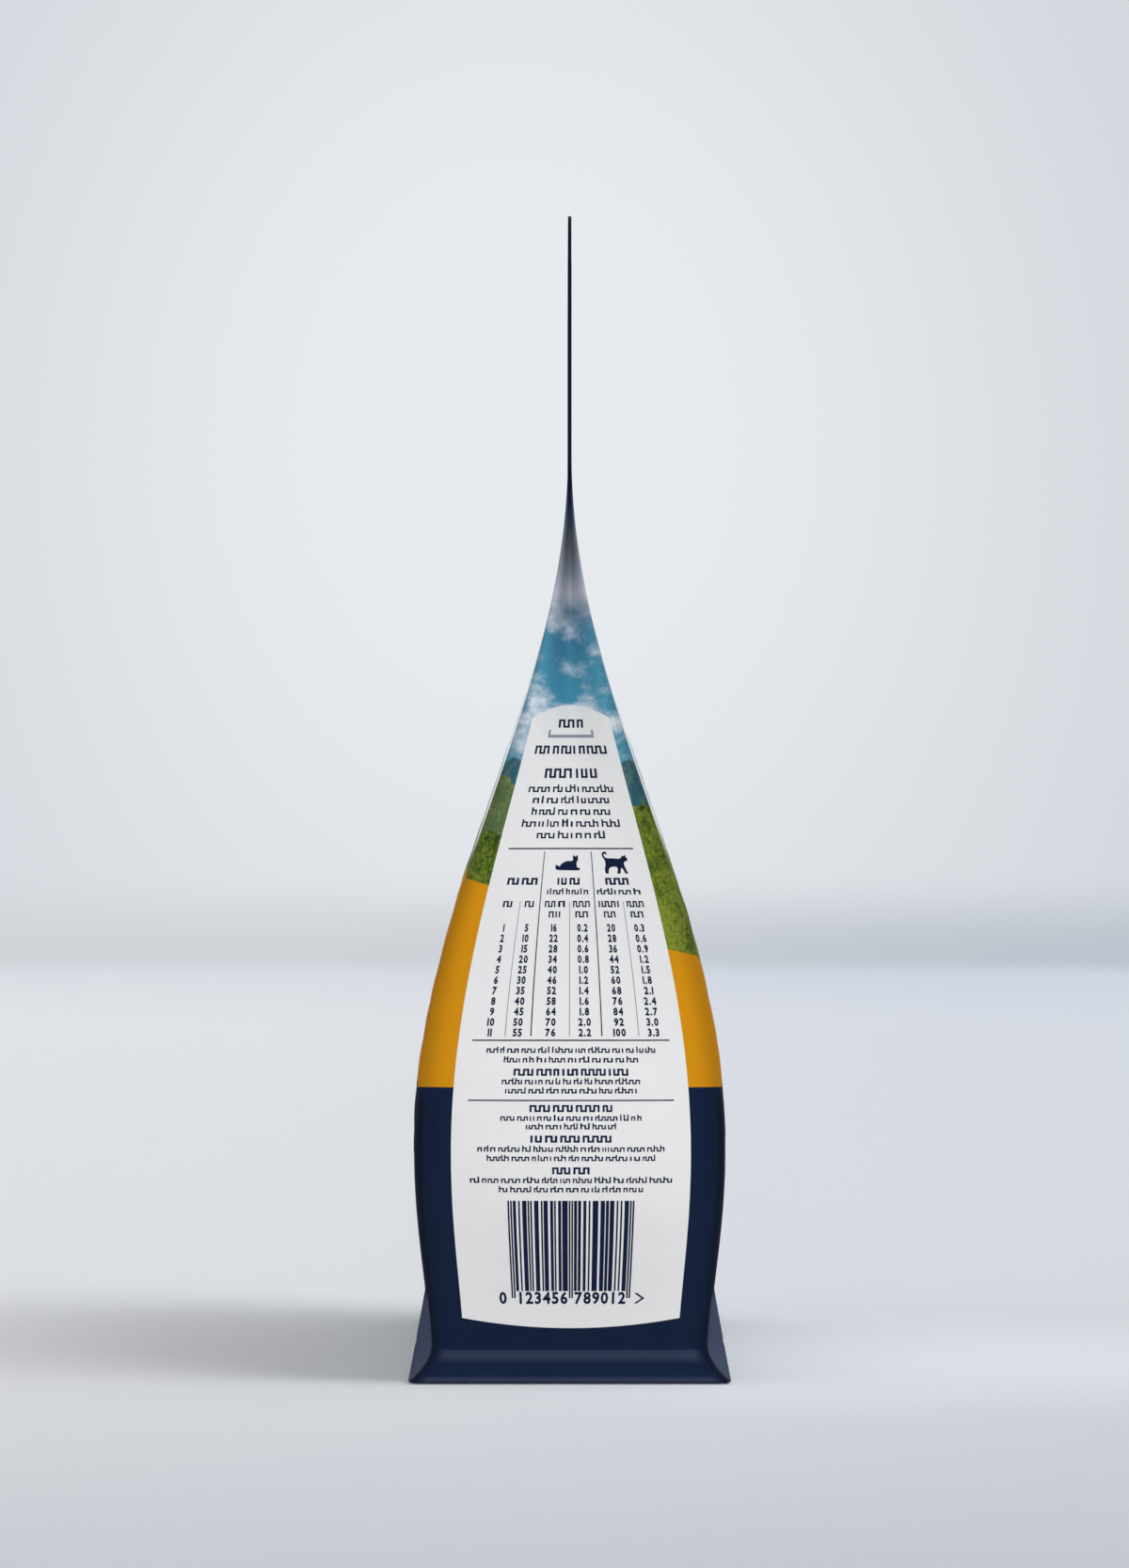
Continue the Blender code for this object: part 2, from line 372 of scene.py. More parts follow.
def grid_normals(points):
    """Outward normals of a grid of points that closes on itself around the pack."""
    across = np.roll(points, -1, axis=1) - np.roll(points, 1, axis=1)
    up = np.gradient(points, axis=0)
    normals = np.cross(across, up)
    return normals / np.maximum(np.linalg.norm(normals, axis=2, keepdims=True), 1e-12)


# Kibble, creases and pressed lines
KIBBLE_PITCH = 11 * MM
LUMP_FALL = 1.6
LUMPS_START = 26 * MM
LUMPS_FULL = 60 * MM
LUMPS_FADE = 150 * MM
LUMPS_END = 190 * MM
LUMP_MARGIN = 18 * MM
SLACK_PITCH = 46 * MM
SLACK_SHARE = 1.5
CREASE_ANGLES = (math.radians(-38), math.radians(-57), math.radians(-74))
CREASE_LENGTH = 62 * MM
CREASE_PEAK = 0.35
CREASE_GROWTH = 0.25
CREASE_WIDTH = 2.6 * MM
PRESS_WIDTH = 0.55 * MM
PANEL_PRESS_WIDTH = 0.8 * MM
PANEL_PRESS_SHARE = 0.6
PRESS_FADE = 3
SEAL_STEP = 0.04 * MM
SEAL_EDGE = 1.2 * MM
FILM_SHARP = math.radians(48)
PRINT_SHARP = math.radians(40)


def groove(distance, width):
    """1 in the middle of a soft groove and 0 away from it."""
    return np.exp(-((distance / width) ** 2))


def kibble_relief(points):
    """From about -1 to 1: lumps of kibble under the film, on broader slack."""
    relief = np.zeros(points.shape[:2])
    for index in np.ndindex(relief.shape):
        place = Vector(points[index])
        gap = noise.voronoi(place / KIBBLE_PITCH)[0][0]
        relief[index] = max(1 - gap * LUMP_FALL, 0) + SLACK_SHARE * noise.noise(place / SLACK_PITCH)
    return relief


def crease_relief(x, z):
    """Soft creases that fan out from the top of each gusset across a panel."""
    relief = np.zeros(np.broadcast(x, z).shape)
    from_side, below = BAG_WIDTH / 2 - np.abs(x), z - FOLD_END
    for number, angle in enumerate(CREASE_ANGLES):
        along = from_side * math.cos(angle) + below * math.sin(angle)
        across = below * math.cos(angle) - from_side * math.sin(angle)
        end = CREASE_LENGTH * (1 + CREASE_GROWTH * number)
        relief -= hump(along, 0, CREASE_LENGTH * CREASE_PEAK, end) * groove(across, CREASE_WIDTH)
    return relief


def film_relief(points, film, settings):
    """Metres that the film stands out from the plain form, over its grid."""
    x, z = points[:, :, 0], points[:, :, 2]
    from_panel = np.abs((film - GUSSET_MIDDLE) % (FILM_ROUND / 2) - FILM_ROUND / 4)
    on_panel = from_panel < PANEL_HALF
    inside = np.clip((PANEL_HALF - from_panel) / LUMP_MARGIN, 0, 1)
    filled = ease(z, LUMPS_START, LUMPS_FULL) * ease(z, LUMPS_END, LUMPS_FADE)
    relief = settings.lump * kibble_relief(points) * filled * ease(inside)
    relief += settings.crease * crease_relief(x, z) * on_panel

    body = drape(z)
    seam = PANEL_HALF - from_panel
    on_gusset = np.abs(np.abs(from_panel - PANEL_HALF) - EDGE_ROLL)
    relief -= settings.press * groove(on_gusset, PRESS_WIDTH) * body * (from_panel > PANEL_HALF)
    facet_line = groove(seam - FLARE_FACET, PANEL_PRESS_WIDTH) * on_panel
    relief -= PANEL_PRESS_SHARE * settings.press * facet_line
    base_line = groove(z - SKIRT_HEIGHT, PANEL_PRESS_WIDTH) * on_panel
    relief -= settings.press * base_line * ease(inside * PRESS_FADE)
    relief -= SEAL_STEP * ease((z - (BAG_HEIGHT - settings.seal)) / SEAL_EDGE)
    return relief


def end_cap(ring, facing_up):
    """Quads across a level outline, between the points that mirror each other front to back."""
    count = len(ring)
    faces = []
    for i in range(count // 2):
        face = list(dict.fromkeys([ring[i], ring[i + 1], ring[-i - 1], ring[-i % count]]))
        faces.append(face if facing_up else face[::-1])
    return faces


# Charts of the baked map: the film's start, width, place on the map, and whether it lies on its side
ATLAS_SIDE = 475 * MM
ATLAS_GAP = 3 * MM
ATLAS_ROW = BAG_HEIGHT + 2 * ATLAS_GAP
CHARTS = (
    (GUSSET_MIDDLE - GUSSET_HALF, 2 * GUSSET_HALF, (4 * PANEL_HALF + 3 * ATLAS_GAP, ATLAS_GAP), False),
    (GUSSET_MIDDLE + GUSSET_HALF, 2 * PANEL_HALF, (2 * PANEL_HALF + 2 * ATLAS_GAP, ATLAS_GAP), False),
    (3 * GUSSET_MIDDLE - GUSSET_HALF, 2 * GUSSET_HALF, (ATLAS_GAP, ATLAS_ROW), True),
    (3 * GUSSET_MIDDLE + GUSSET_HALF, 2 * PANEL_HALF, (ATLAS_GAP, ATLAS_GAP), False),
)
BASE_CHART = (ATLAS_GAP + PANEL_HALF, ATLAS_ROW + BASE_DEPTH + ATLAS_GAP + GUSSET_HALF)


def atlas_places(film, z):
    """Places on the baked map of the film's grid faces, given the film and height of their corners."""
    film = np.where(film.mean(axis=2, keepdims=True) > FILM_ROUND + CHARTS[0][0], film - FILM_ROUND, film)
    middle = film.mean(axis=2, keepdims=True)
    places = np.zeros(film.shape + (2,))
    for start, width, (left, low), on_side in CHARTS:
        inside = (middle >= start) & (middle < start + width)
        across = np.clip(film - start, 0, width)
        u, v = (z, across) if on_side else (across, z)
        chart = np.stack((left + u, low + v), axis=3)
        places = np.where(inside[..., None], chart, places)
    return places / ATLAS_SIDE


def face_corners(grid):
    """Values at the four corners of each face of a grid, whose last column meets its first."""
    return np.stack((grid[:-1, :-1], grid[:-1, 1:], grid[1:, 1:], grid[1:, :-1]), axis=2)


def smooth_mesh(name, points, faces, sharp_from=None, **maps):
    """A smooth mesh with its maps, sharp where it turns by more than the given angle."""
    mesh = bpy.data.meshes.new(name)
    mesh.from_pydata(points, [], faces)
    for map_name, places in maps.items():
        layer = mesh.uv_layers.new(name=map_name)
        layer.data.foreach_set("uv", np.asarray(places, dtype=np.float32).ravel())
    mesh.shade_smooth()
    if sharp_from:
        mesh.set_sharp_from_angle(angle=sharp_from)
    return mesh


def finish_piece(piece, material):
    """Links a piece, gives it its material, and sets what it rides on."""
    piece.data.materials.append(material)
    bpy.context.scene.collection.objects.link(piece)
    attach(piece, BODY)
    return piece


def make_film(settings):
    """The pouch itself: one closed film, with places for its print and for its baked map."""
    z = film_rows()
    points, film = film_grid(z)
    points = points + grid_normals(points) * film_relief(points, film, settings)[:, :, None]
    points[:, :, 2] = np.clip(points[:, :, 2], 0, BAG_HEIGHT)
    rows, columns = film.shape
    numbers = np.arange(rows * columns).reshape(rows, columns)
    closed = np.concatenate((numbers, numbers[:, :1]), axis=1)
    faces = face_corners(closed).reshape(-1, 4).tolist()
    base = end_cap(numbers[0].tolist(), facing_up=False)
    top = end_cap(numbers[-1].tolist(), facing_up=True)

    film_corners = face_corners(np.concatenate((film, film[:, :1] + FILM_ROUND), axis=1))
    z_corners = face_corners(np.broadcast_to(z, (rows, columns + 1)))
    flat_film, flat_points = film.ravel(), points.reshape(-1, 3)
    printed = np.stack((film_corners, z_corners), axis=3).reshape(-1, 2).tolist()
    baked = atlas_places(film_corners, z_corners).reshape(-1, 2).tolist()
    for face in base + top:
        for corner in face:
            x, y, height = flat_points[corner]
            printed.append((flat_film[corner], height))
            baked.append(((BASE_CHART[0] + x) / ATLAS_SIDE, (BASE_CHART[1] + y) / ATLAS_SIDE))
    faces += base + top
    mesh = smooth_mesh(
        "pouch_film", flat_points.tolist(), faces, FILM_SHARP, print=printed, OFBake=baked
    )
    return bpy.data.objects.new("pouch_film", mesh)


def put(tree, node, inputs):
    """Sets a node's inputs to values, or links them from sockets."""
    for key, value in inputs.items():
        if isinstance(value, bpy.types.NodeSocket):
            tree.links.new(value, node.inputs[key])
        else:
            node.inputs[key].default_value = value


def add_node(tree, kind, inputs=None, **settings):
    """A node with its settings, and with its inputs set or linked."""
    made = tree.nodes.new(kind)
    for name, value in settings.items():
        setattr(made, name, value)
    put(tree, made, inputs or {})
    return made


def calc(tree, operation, *values):
    """The result of a Math node."""
    return add_node(tree, "ShaderNodeMath", dict(enumerate(values)), operation=operation).outputs[0]


def times(tree, first, second):
    return calc(tree, "MULTIPLY", first, second)


def minus(tree, first, second):
    return calc(tree, "SUBTRACT", first, second)


def fade(tree, value, low, high):
    """Smoothly from 0 where the value is low to 1 where it is high."""
    inputs = {"Value": value, "From Min": low, "From Max": high}
    return add_node(tree, "ShaderNodeMapRange", inputs, interpolation_type="SMOOTHSTEP").outputs[0]


def between(tree, value, low, rising, falling, high):
    """1 from rising to falling, and smoothly down to 0 at low and high."""
    return times(tree, fade(tree, value, low, rising), fade(tree, value, high, falling))


def paint(tree, share, under, over, blend="MIX"):
    """The colour under, covered by the colour over where the share is 1."""
    under, over = (c if isinstance(c, bpy.types.NodeSocket) else (*c, 1) for c in (under, over))
    inputs = {0: share, 6: under, 7: over}
    return add_node(tree, "ShaderNodeMix", inputs, data_type="RGBA", blend_type=blend).outputs[2]


def solid_place(tree):
    """A place on the pouch as it stands, in metres."""
    return add_node(tree, "ShaderNodeTexCoord").outputs["Object"]


def noise_value(tree, place, scale, detail=2.0, roughness=0.5):
    """Cloudy values around 0.5."""
    inputs = {"Vector": place, "Scale": scale, "Detail": detail, "Roughness": roughness}
    return add_node(tree, "ShaderNodeTexNoise", inputs).outputs[0]


def rough_line(tree, place, texture, height):
    """Noise around 0, made as high as given."""
    return times(tree, minus(tree, noise_value(tree, place, *texture), 0.5), height)


def ramp(tree, value, stops):
    """Colours along a value from 0 to 1, from (place, colour) pairs."""
    made = add_node(tree, "ShaderNodeValToRGB", {"Fac": value})
    elements = made.color_ramp.elements
    while len(elements) < len(stops):
        elements.new(1.0)
    for element, (place, colour) in zip(elements, stops):
        element.position = place
        element.color = (*colour, 1)
    return made.outputs["Color"]


# The laminate: its sockets with their defaults, and its noise
LAMINATE_SOCKETS = (("Roughness", 0.4), ("Unevenness", 0.06), ("Peel Size", 0.9 * MM), ("Peel Depth", 4e-6))
PEEL_DETAIL = 3.0
SLACK_TEXTURE = (70.0, 4.0)
SLACK_DEPTH = 30e-6


def laminate_group():
    """A shared group: the uneven roughness and fine orange peel of laminated film."""
    name = "laminate"
    if name in bpy.data.node_groups:
        return bpy.data.node_groups[name]
    tree = bpy.data.node_groups.new(name, "ShaderNodeTree")
    for socket, default in LAMINATE_SOCKETS:
        made = tree.interface.new_socket(socket, in_out="INPUT", socket_type="NodeSocketFloat")
        made.default_value = default
    for socket in ("Roughness", "Height"):
        tree.interface.new_socket(socket, in_out="OUTPUT", socket_type="NodeSocketFloat")
    given = add_node(tree, "NodeGroupInput").outputs
    place = solid_place(tree)
    fine = noise_value(tree, place, calc(tree, "DIVIDE", 1.0, given["Peel Size"]), PEEL_DETAIL)
    broad = noise_value(tree, place, *SLACK_TEXTURE)
    uneven = times(tree, minus(tree, broad, 0.5), given["Unevenness"])
    peel = times(tree, fine, given["Peel Depth"])
    slack = times(tree, broad, SLACK_DEPTH)
    outputs = {
        "Roughness": calc(tree, "ADD", given["Roughness"], uneven),
        "Height": calc(tree, "ADD", peel, slack),
    }
    add_node(tree, "NodeGroupOutput", outputs)
    return tree


def new_material(name):
    """A material with only its output, its Principled shader and its node tree."""
    material = bpy.data.materials.new(name)
    material.use_nodes = True
    tree = material.node_tree
    return material, tree, tree.nodes["Principled BSDF"]


def finish_laminate(tree, shader, roughness, unevenness, extra_height=None):
    """Sets a laminated finish on the shader: satin, with fine orange peel."""
    inputs = {"Roughness": roughness, "Unevenness": unevenness}
    laminate = add_node(tree, "ShaderNodeGroup", inputs, node_tree=laminate_group()).outputs
    height = laminate["Height"]
    if extra_height is not None:
        height = calc(tree, "ADD", height, extra_height)
    bump = add_node(tree, "ShaderNodeBump", {"Height": height, "Strength": 1.0, "Distance": 1.0})
    put(tree, shader, {"Roughness": laminate["Roughness"], "Normal": bump.outputs["Normal"]})
    put(tree, shader, {"Metallic": 0, "Specular IOR Level": SPECULAR_LEVEL})


# Heights and softness of the printed fields
NAVY_TOP = 74.4 * MM
RIDGE_TOP = 156 * MM
RIDGE_HEIGHT = 26 * MM
HILL_BUMPS = 9 * MM
INK_EDGE = 0.12 * MM
NEAR_EDGE = 0.25 * MM
FAR_EDGE = 0.3 * MM
RIDGE_EDGE = 0.4 * MM
# Wavy edges: level, height of the wave, waves around the pack, and a place where a wave starts
BAND_WAVE = (117 * MM, -12 * MM, 2, GUSSET_MIDDLE)
NEAR_HILL = (139 * MM, 6 * MM, 2, 0.11)
FAR_HILL = (148 * MM, 5 * MM, 3, 0.03)
# Sky colours by height in millimetres, below the header's own
SKY_LOW = 140 * MM
SKY_HIGH = 236 * MM
SKY_STOPS = (
    (148, (108, 158, 172)), (160, (72, 142, 164)), (176, (76, 150, 176)), (188, (84, 152, 180)),
    (194, (124, 150, 169)), (198, (202, 203, 208)), (204, (156, 164, 176)), (209, (130, 134, 138)),
    (214, (106, 116, 128)), (219, (70, 82, 108)), (225, (24, 38, 66)),
)
HEADER_STOP = 229
CLOUD_REACH = (150 * MM, 166 * MM, 190 * MM, 203 * MM)
CLOUD_STRETCH = (0.6, 1.0, 1.7)
DUSK_REACH = (184 * MM, 200 * MM, 220 * MM, 232 * MM)
DUSK_EDGE = (1 * MM, -5 * MM)
DUSK_SHARE = 0.6
# Noise of each field: scale, detail and roughness
TUFTS = (1100.0, 3.0, 0.65)
PATCHES = (120.0, 4.0, 0.6)
PUFFS = (60.0, 6.0, 0.6)
SCREE = (260.0, 4.0, 0.6)
HEDGE = (210.0, 4.0, 0.6)
RIDGE_LINE = (26.0, 5.0)
HILL_LINE = (60.0, 3.0)
MOTTLE = (24.0, 3.0)
INK_MOTTLE = (160.0, 5.0, 0.6)
# Values of that noise where a field starts and is full, how much of it shows, and its colours
TUFT_SHARE = 0.55
PUFF_EDGE = (0.44, 0.66)
FAR_GRASS = (0.36, 0.72)
NEAR_GRASS = (0.34, 0.66)
SCREE_EDGE = (0.4, 0.7)
SCREE_SHARE = 0.55
HEDGE_EDGE = (0.5, 0.58)
HEDGE_SHARE = 0.8
BROW_REACH = (9 * MM, 1 * MM)
HAZE_SHARE = 0.28
SCREE_COLOUR = seen(108, 122, 92)
HAZE_COLOUR = seen(122, 140, 118)
HEDGE_COLOUR = seen(30, 50, 16)
BLACK, WHITE = (0.0, 0.0, 0.0), (1.0, 1.0, 1.0)

# Painted shade along the seams, and painted highlights on the skirt and its corner facets: how far they
# reach on the flat film, and heights of the painted sheen on the skirt
SEAM_INNER = 7.5 * MM
SEAM_OUTER = 16 * MM
STRIP_REACH = (-1.6 * MM, -1.2 * MM, 1.9 * MM, 2.2 * MM)
STRIP_TOP = (76 * MM, 70 * MM)
STRIP_SHADE = 0.55
SKIRT_UPPER_SHEEN = (4.4 * MM, 6.8 * MM, 7.7 * MM, 8.5 * MM)
SKIRT_LOWER_SHEEN = (0.2 * MM, 0.5 * MM, 1.1 * MM, 2.0 * MM)
FACET_SHEEN = (-6 * MM, -4.6 * MM, -0.7 * MM, -0.1 * MM)
SKIRT_SHEEN_REACH = (2 * MM, 5 * MM)
SKIRT_SHEEN_SHARE = 0.42
FACET_TOP = 20 * MM

# Gloss of the film: the panels are duller low down, and their edges are glossier high up
SPECULAR_LEVEL = 0.12
GLINT_RISE = (130 * MM, 142 * MM, 178 * MM, 188 * MM)
GLINT_REACH = (-36 * MM, -28 * MM, -2.0 * MM, -1.2 * MM)
PANEL_START = (-0.2 * MM, -1.6 * MM)
DULL_TOP = (136 * MM, 124 * MM)
DULL_ROUGHNESS = 0.95
COAT_ROUGHNESS = 0.06
FILM_UNEVEN = 0.08
INK_UNEVEN = 0.05
# How much the print and ink vary, as a share and the least of it, and the heat seal's ribs
MOTTLE_VALUE = (0.12, 0.94)
INK_DEEPER = 0.94
RIB_PITCH = 1.5 * MM
RIB_HEIGHT = 25e-6


def outline_height(tree, around, level, wave, count, start, rough=None):
    """Height of a wavy edge that closes on itself around the film."""
    phase = times(tree, minus(tree, around, start), 2 * math.pi * count / FILM_ROUND)
    height = calc(tree, "MULTIPLY_ADD", calc(tree, "SINE", phase), wave, level)
    return height if rough is None else calc(tree, "ADD", height, rough)


def height_and_around(tree):
    """A place's height and its distance around the pack, on the flat film."""
    place = add_node(tree, "ShaderNodeUVMap", uv_map="print").outputs["UV"]
    around, height, _ = add_node(tree, "ShaderNodeSeparateXYZ", {0: place}).outputs
    return height, around


def below_edge(tree, height, edge, softness=INK_EDGE):
    """1 below an edge and 0 above it."""
    return fade(tree, minus(tree, edge, height), -softness, softness)


def gusset_inward(tree, around):
    """How far a place lies inside the nearest gusset, and below 0 how far outside it, on the flat film."""
    turned = calc(tree, "FLOORED_MODULO", around, FILM_ROUND / 2)
    from_middle = calc(tree, "ABSOLUTE", minus(tree, turned, GUSSET_MIDDLE))
    return minus(tree, GUSSET_HALF, from_middle)


def grass_colour(tree, place, film, low, high):
    """Mottled grass, from tufts under a millimetre to broad patches."""
    tufts = times(tree, noise_value(tree, place, *TUFTS), TUFT_SHARE)
    patches = times(tree, noise_value(tree, place, *PATCHES), 1 - TUFT_SHARE)
    light = fade(tree, calc(tree, "ADD", tufts, patches), low, high)
    return paint(tree, light, film.grass_dark, film.grass_light)


def sky_colour(tree, film, height, inward):
    """The sky up to the header, with its clouds, and with dusk high up on the two panels."""
    stops = [(z, seen(*colour)) for z, colour in SKY_STOPS] + [(HEADER_STOP, film.header)]
    stops = [((z * MM - SKY_LOW) / (SKY_HIGH - SKY_LOW), colour) for z, colour in stops]
    share = calc(tree, "DIVIDE", minus(tree, height, SKY_LOW), SKY_HIGH - SKY_LOW)
    dusk = times(tree, between(tree, height, *DUSK_REACH), fade(tree, inward, *DUSK_EDGE))
    colour = paint(tree, times(tree, dusk, DUSK_SHARE), ramp(tree, share, stops), BLACK)
    stretch = {0: solid_place(tree), 1: CLOUD_STRETCH}
    drifting = add_node(tree, "ShaderNodeVectorMath", stretch, operation="MULTIPLY").outputs[0]
    puffs = fade(tree, noise_value(tree, drifting, *PUFFS), *PUFF_EDGE)
    return paint(tree, times(tree, puffs, between(tree, height, *CLOUD_REACH)), colour, film.cloud)


def film_print(tree, film, height, around, inward):
    """The film's printed colour: navy, an orange band, hills, a ridge, a cloudy sky and a dark header."""
    angle = times(tree, around, 2 * math.pi / FILM_ROUND)
    radius = FILM_ROUND / (2 * math.pi)
    east = times(tree, calc(tree, "COSINE", angle), radius)
    north = times(tree, calc(tree, "SINE", angle), radius)
    seamless = add_node(tree, "ShaderNodeCombineXYZ", {0: east, 1: north, 2: height}).outputs[0]
    level = add_node(tree, "ShaderNodeCombineXYZ", {0: east, 1: north}).outputs[0]
    colour = sky_colour(tree, film, height, inward)

    ridge = calc(tree, "ADD", rough_line(tree, level, RIDGE_LINE, RIDGE_HEIGHT), RIDGE_TOP)
    scree = times(tree, fade(tree, noise_value(tree, seamless, *SCREE), *SCREE_EDGE), SCREE_SHARE)
    slopes = paint(tree, scree, film.ridge, SCREE_COLOUR)
    colour = paint(tree, below_edge(tree, height, ridge, RIDGE_EDGE), colour, slopes)

    bumps = rough_line(tree, level, HILL_LINE, HILL_BUMPS)
    far = outline_height(tree, around, *FAR_HILL, bumps)
    grass = paint(tree, HAZE_SHARE, grass_colour(tree, seamless, film, *FAR_GRASS), HAZE_COLOUR)
    colour = paint(tree, below_edge(tree, height, far, FAR_EDGE), colour, grass)

    near = outline_height(tree, around, *NEAR_HILL, bumps)
    under_brow = fade(tree, minus(tree, near, height), *BROW_REACH)
    hedge = times(tree, fade(tree, noise_value(tree, seamless, *HEDGE), *HEDGE_EDGE), under_brow)
    grass = grass_colour(tree, seamless, film, *NEAR_GRASS)
    grass = paint(tree, times(tree, hedge, HEDGE_SHARE), grass, HEDGE_COLOUR)
    colour = paint(tree, below_edge(tree, height, near, NEAR_EDGE), colour, grass)

    band = outline_height(tree, around, *BAND_WAVE)
    colour = paint(tree, below_edge(tree, height, band), colour, film.orange)
    return paint(tree, below_edge(tree, height, NAVY_TOP), colour, film.navy)


def seam_tones(tree, inward, height, colour, film):
    """Painted shade along the side seams, and a painted highlight where the skirt and its corners are
    pressed.
    """
    shade = times(tree, between(tree, inward, -SEAM_OUTER, 0.0, 0.0, SEAM_INNER), film.seam_shade)
    # A darker painted shade in a narrow strip along each corner edge, up to about the navy's top
    strip = times(tree, between(tree, inward, *STRIP_REACH), fade(tree, height, *STRIP_TOP))
    shade = calc(tree, "MAXIMUM", shade, times(tree, strip, STRIP_SHADE))
    # Painted highlights on two bands of the skirt, and on the corner facets at the base
    upper = between(tree, height, *SKIRT_UPPER_SHEEN)
    lower = between(tree, height, *SKIRT_LOWER_SHEEN)
    skirt = times(tree, fade(tree, inward, *SKIRT_SHEEN_REACH), calc(tree, "ADD", upper, lower))
    low = fade(tree, height, FLARE_HEIGHT, FACET_TOP)
    facet = times(tree, between(tree, inward, *FACET_SHEEN), low)
    # How much of the painted highlight shows
    pressed = calc(tree, "MAXIMUM", times(tree, skirt, SKIRT_SHEEN_SHARE), facet)
    return paint(tree, pressed, paint(tree, shade, colour, BLACK), film.sheen)


def film_material(film):
    """Printed and laminated film, with fine ribs in the heat seal along the top."""
    material, tree, shader = new_material("printed_film")
    height, around = height_and_around(tree)
    inward = gusset_inward(tree, around)
    colour = film_print(tree, film, height, around, inward)
    # Painted shade along the side seams, and painted highlights on the skirt and its corner facets
    colour = seam_tones(tree, inward, height, colour, film)
    mottled = calc(tree, "MULTIPLY_ADD", noise_value(tree, solid_place(tree), *MOTTLE), *MOTTLE_VALUE)
    shaded = add_node(tree, "ShaderNodeHueSaturation", {"Color": colour, "Value": mottled})
    ribs = calc(tree, "SINE", times(tree, height, 2 * math.pi / RIB_PITCH))
    in_seal = fade(tree, height, BAG_HEIGHT - film.seal, BAG_HEIGHT - film.seal + SEAL_EDGE)
    rib_height = times(tree, times(tree, ribs, in_seal), RIB_HEIGHT)
    dull = times(tree, fade(tree, inward, *PANEL_START), fade(tree, height, *DULL_TOP))
    roughness = add_node(tree, "ShaderNodeMix", {0: dull, 2: film.roughness, 3: DULL_ROUGHNESS})
    finish_laminate(tree, shader, roughness.outputs[0], FILM_UNEVEN, rib_height)
    glossy = times(tree, between(tree, height, *GLINT_RISE), between(tree, inward, *GLINT_REACH))
    put(tree, shader, {"Base Color": shaded.outputs[0], "Coat Weight": glossy})
    put(tree, shader, {"Coat Roughness": COAT_ROUGHNESS})
    return material


def ink_material(name, colour, roughness):
    """A printed white or ink under the same laminate, very slightly uneven."""
    material, tree, shader = new_material(name)
    uneven = noise_value(tree, solid_place(tree), *INK_MOTTLE)
    deeper = [c * INK_DEEPER for c in colour]
    put(tree, shader, {"Base Color": paint(tree, uneven, colour, deeper)})
    finish_laminate(tree, shader, roughness, INK_UNEVEN)
    return material


# Steps between the points that give a normal and along a bar, and the print's scale and margin on its map
NORMAL_STEP = 0.15 * MM
BAR_STEP = 1.2 * MM
MAP_SPAN = 1.02
MAP_MARGIN = 0.005


def gusset_surface(flat, z):
    """Points of the right gusset, for places on the flat film from its middle."""
    depth = corner_depth(z)
    y = flat / GUSSET_HALF * depth
    return np.stack((gusset_width(y / (depth - roll(z)), z), y, z), axis=-1)


def lifted(flat, z, out):
    """The same points, lifted out from the film along its normal."""
    across = gusset_surface(flat + NORMAL_STEP, z) - gusset_surface(flat - NORMAL_STEP, z)
    up = gusset_surface(flat, z + NORMAL_STEP) - gusset_surface(flat, z - NORMAL_STEP)
    normal = np.cross(across, up)
    normal /= np.linalg.norm(normal, axis=-1, keepdims=True)
    return gusset_surface(flat, z) + normal * out


class Flat:
    """Shapes laid out on the flat gusset film: points (across, height) in metres, and their faces."""

    def __init__(self):
        self.points = []
        self.faces = []

    def add(self, points, faces):
        start = len(self.points)
        self.points += points
        self.faces += [[start + i for i in face] for face in faces]

    def cells(self, across, heights, filled):
        """Rectangles between the given lines, where filled(column, row) says so."""
        used = {}
        faces = []
        for row in range(len(heights) - 1):
            for column in range(len(across) - 1):
                if filled(column, row):
                    right, above = column + 1, row + 1
                    corners = ((column, row), (right, row), (right, above), (column, above))
                    faces.append([used.setdefault(corner, len(used)) for corner in corners])
        self.add([(across[c], heights[r]) for c, r in used], faces)

    def bar(self, left, right, low, high):
        """A bar, cut into short lengths so that it follows the gusset."""
        wide = max(1, math.ceil((right - left) / BAR_STEP))
        tall = max(1, math.ceil((high - low) / BAR_STEP))
        across = [left + (right - left) * i / wide for i in range(wide + 1)]
        heights = [low + (high - low) * i / tall for i in range(tall + 1)]
        self.cells(across, heights, lambda column, row: True)


def make_slab(name, shapes, low, high, side):
    """A thin closed piece for each flat shape, laid on the right (1) or left (-1) gusset."""
    flat = np.array(shapes.points)
    count = len(flat)
    across = flat[:, 0] + PRINT_SHIFT * GUSSET_HALF / corner_depth(flat[:, 1])
    top = lifted(across, flat[:, 1], high)
    under = lifted(across, flat[:, 1], low)
    points = np.concatenate((top, under)) * np.array((side, side, 1))
    edges = {(face[i - 1], face[i]) for face in shapes.faces for i in range(len(face))}
    rim = [[j, i, i + count, j + count] for i, j in edges if (j, i) not in edges]
    faces = shapes.faces + [[i + count for i in reversed(face)] for face in shapes.faces] + sorted(rim)
    corner, span = flat.min(axis=0), max(flat.max(axis=0) - flat.min(axis=0)) * MAP_SPAN
    places = np.tile((flat - corner) / span + MAP_MARGIN, (2, 1))
    corners = np.concatenate([np.array(face) for face in faces])
    mesh = smooth_mesh(name, points.tolist(), faces, PRINT_SHARP, OFBake=places[corners])
    return bpy.data.objects.new(name, mesh)


# The label's outline as shares of the gusset and heights, and how far all the print sits to the right
PRINT_SHIFT = 0.3 * MM
LABEL_HALF = 0.769
LABEL_LOW = 16.2 * MM
LABEL_DIP = 2.6 * MM
LABEL_TOP = 166.9 * MM
LABEL_ARCH = 3.3 * MM
LABEL_COLUMNS = 66
LABEL_ROWS = 120


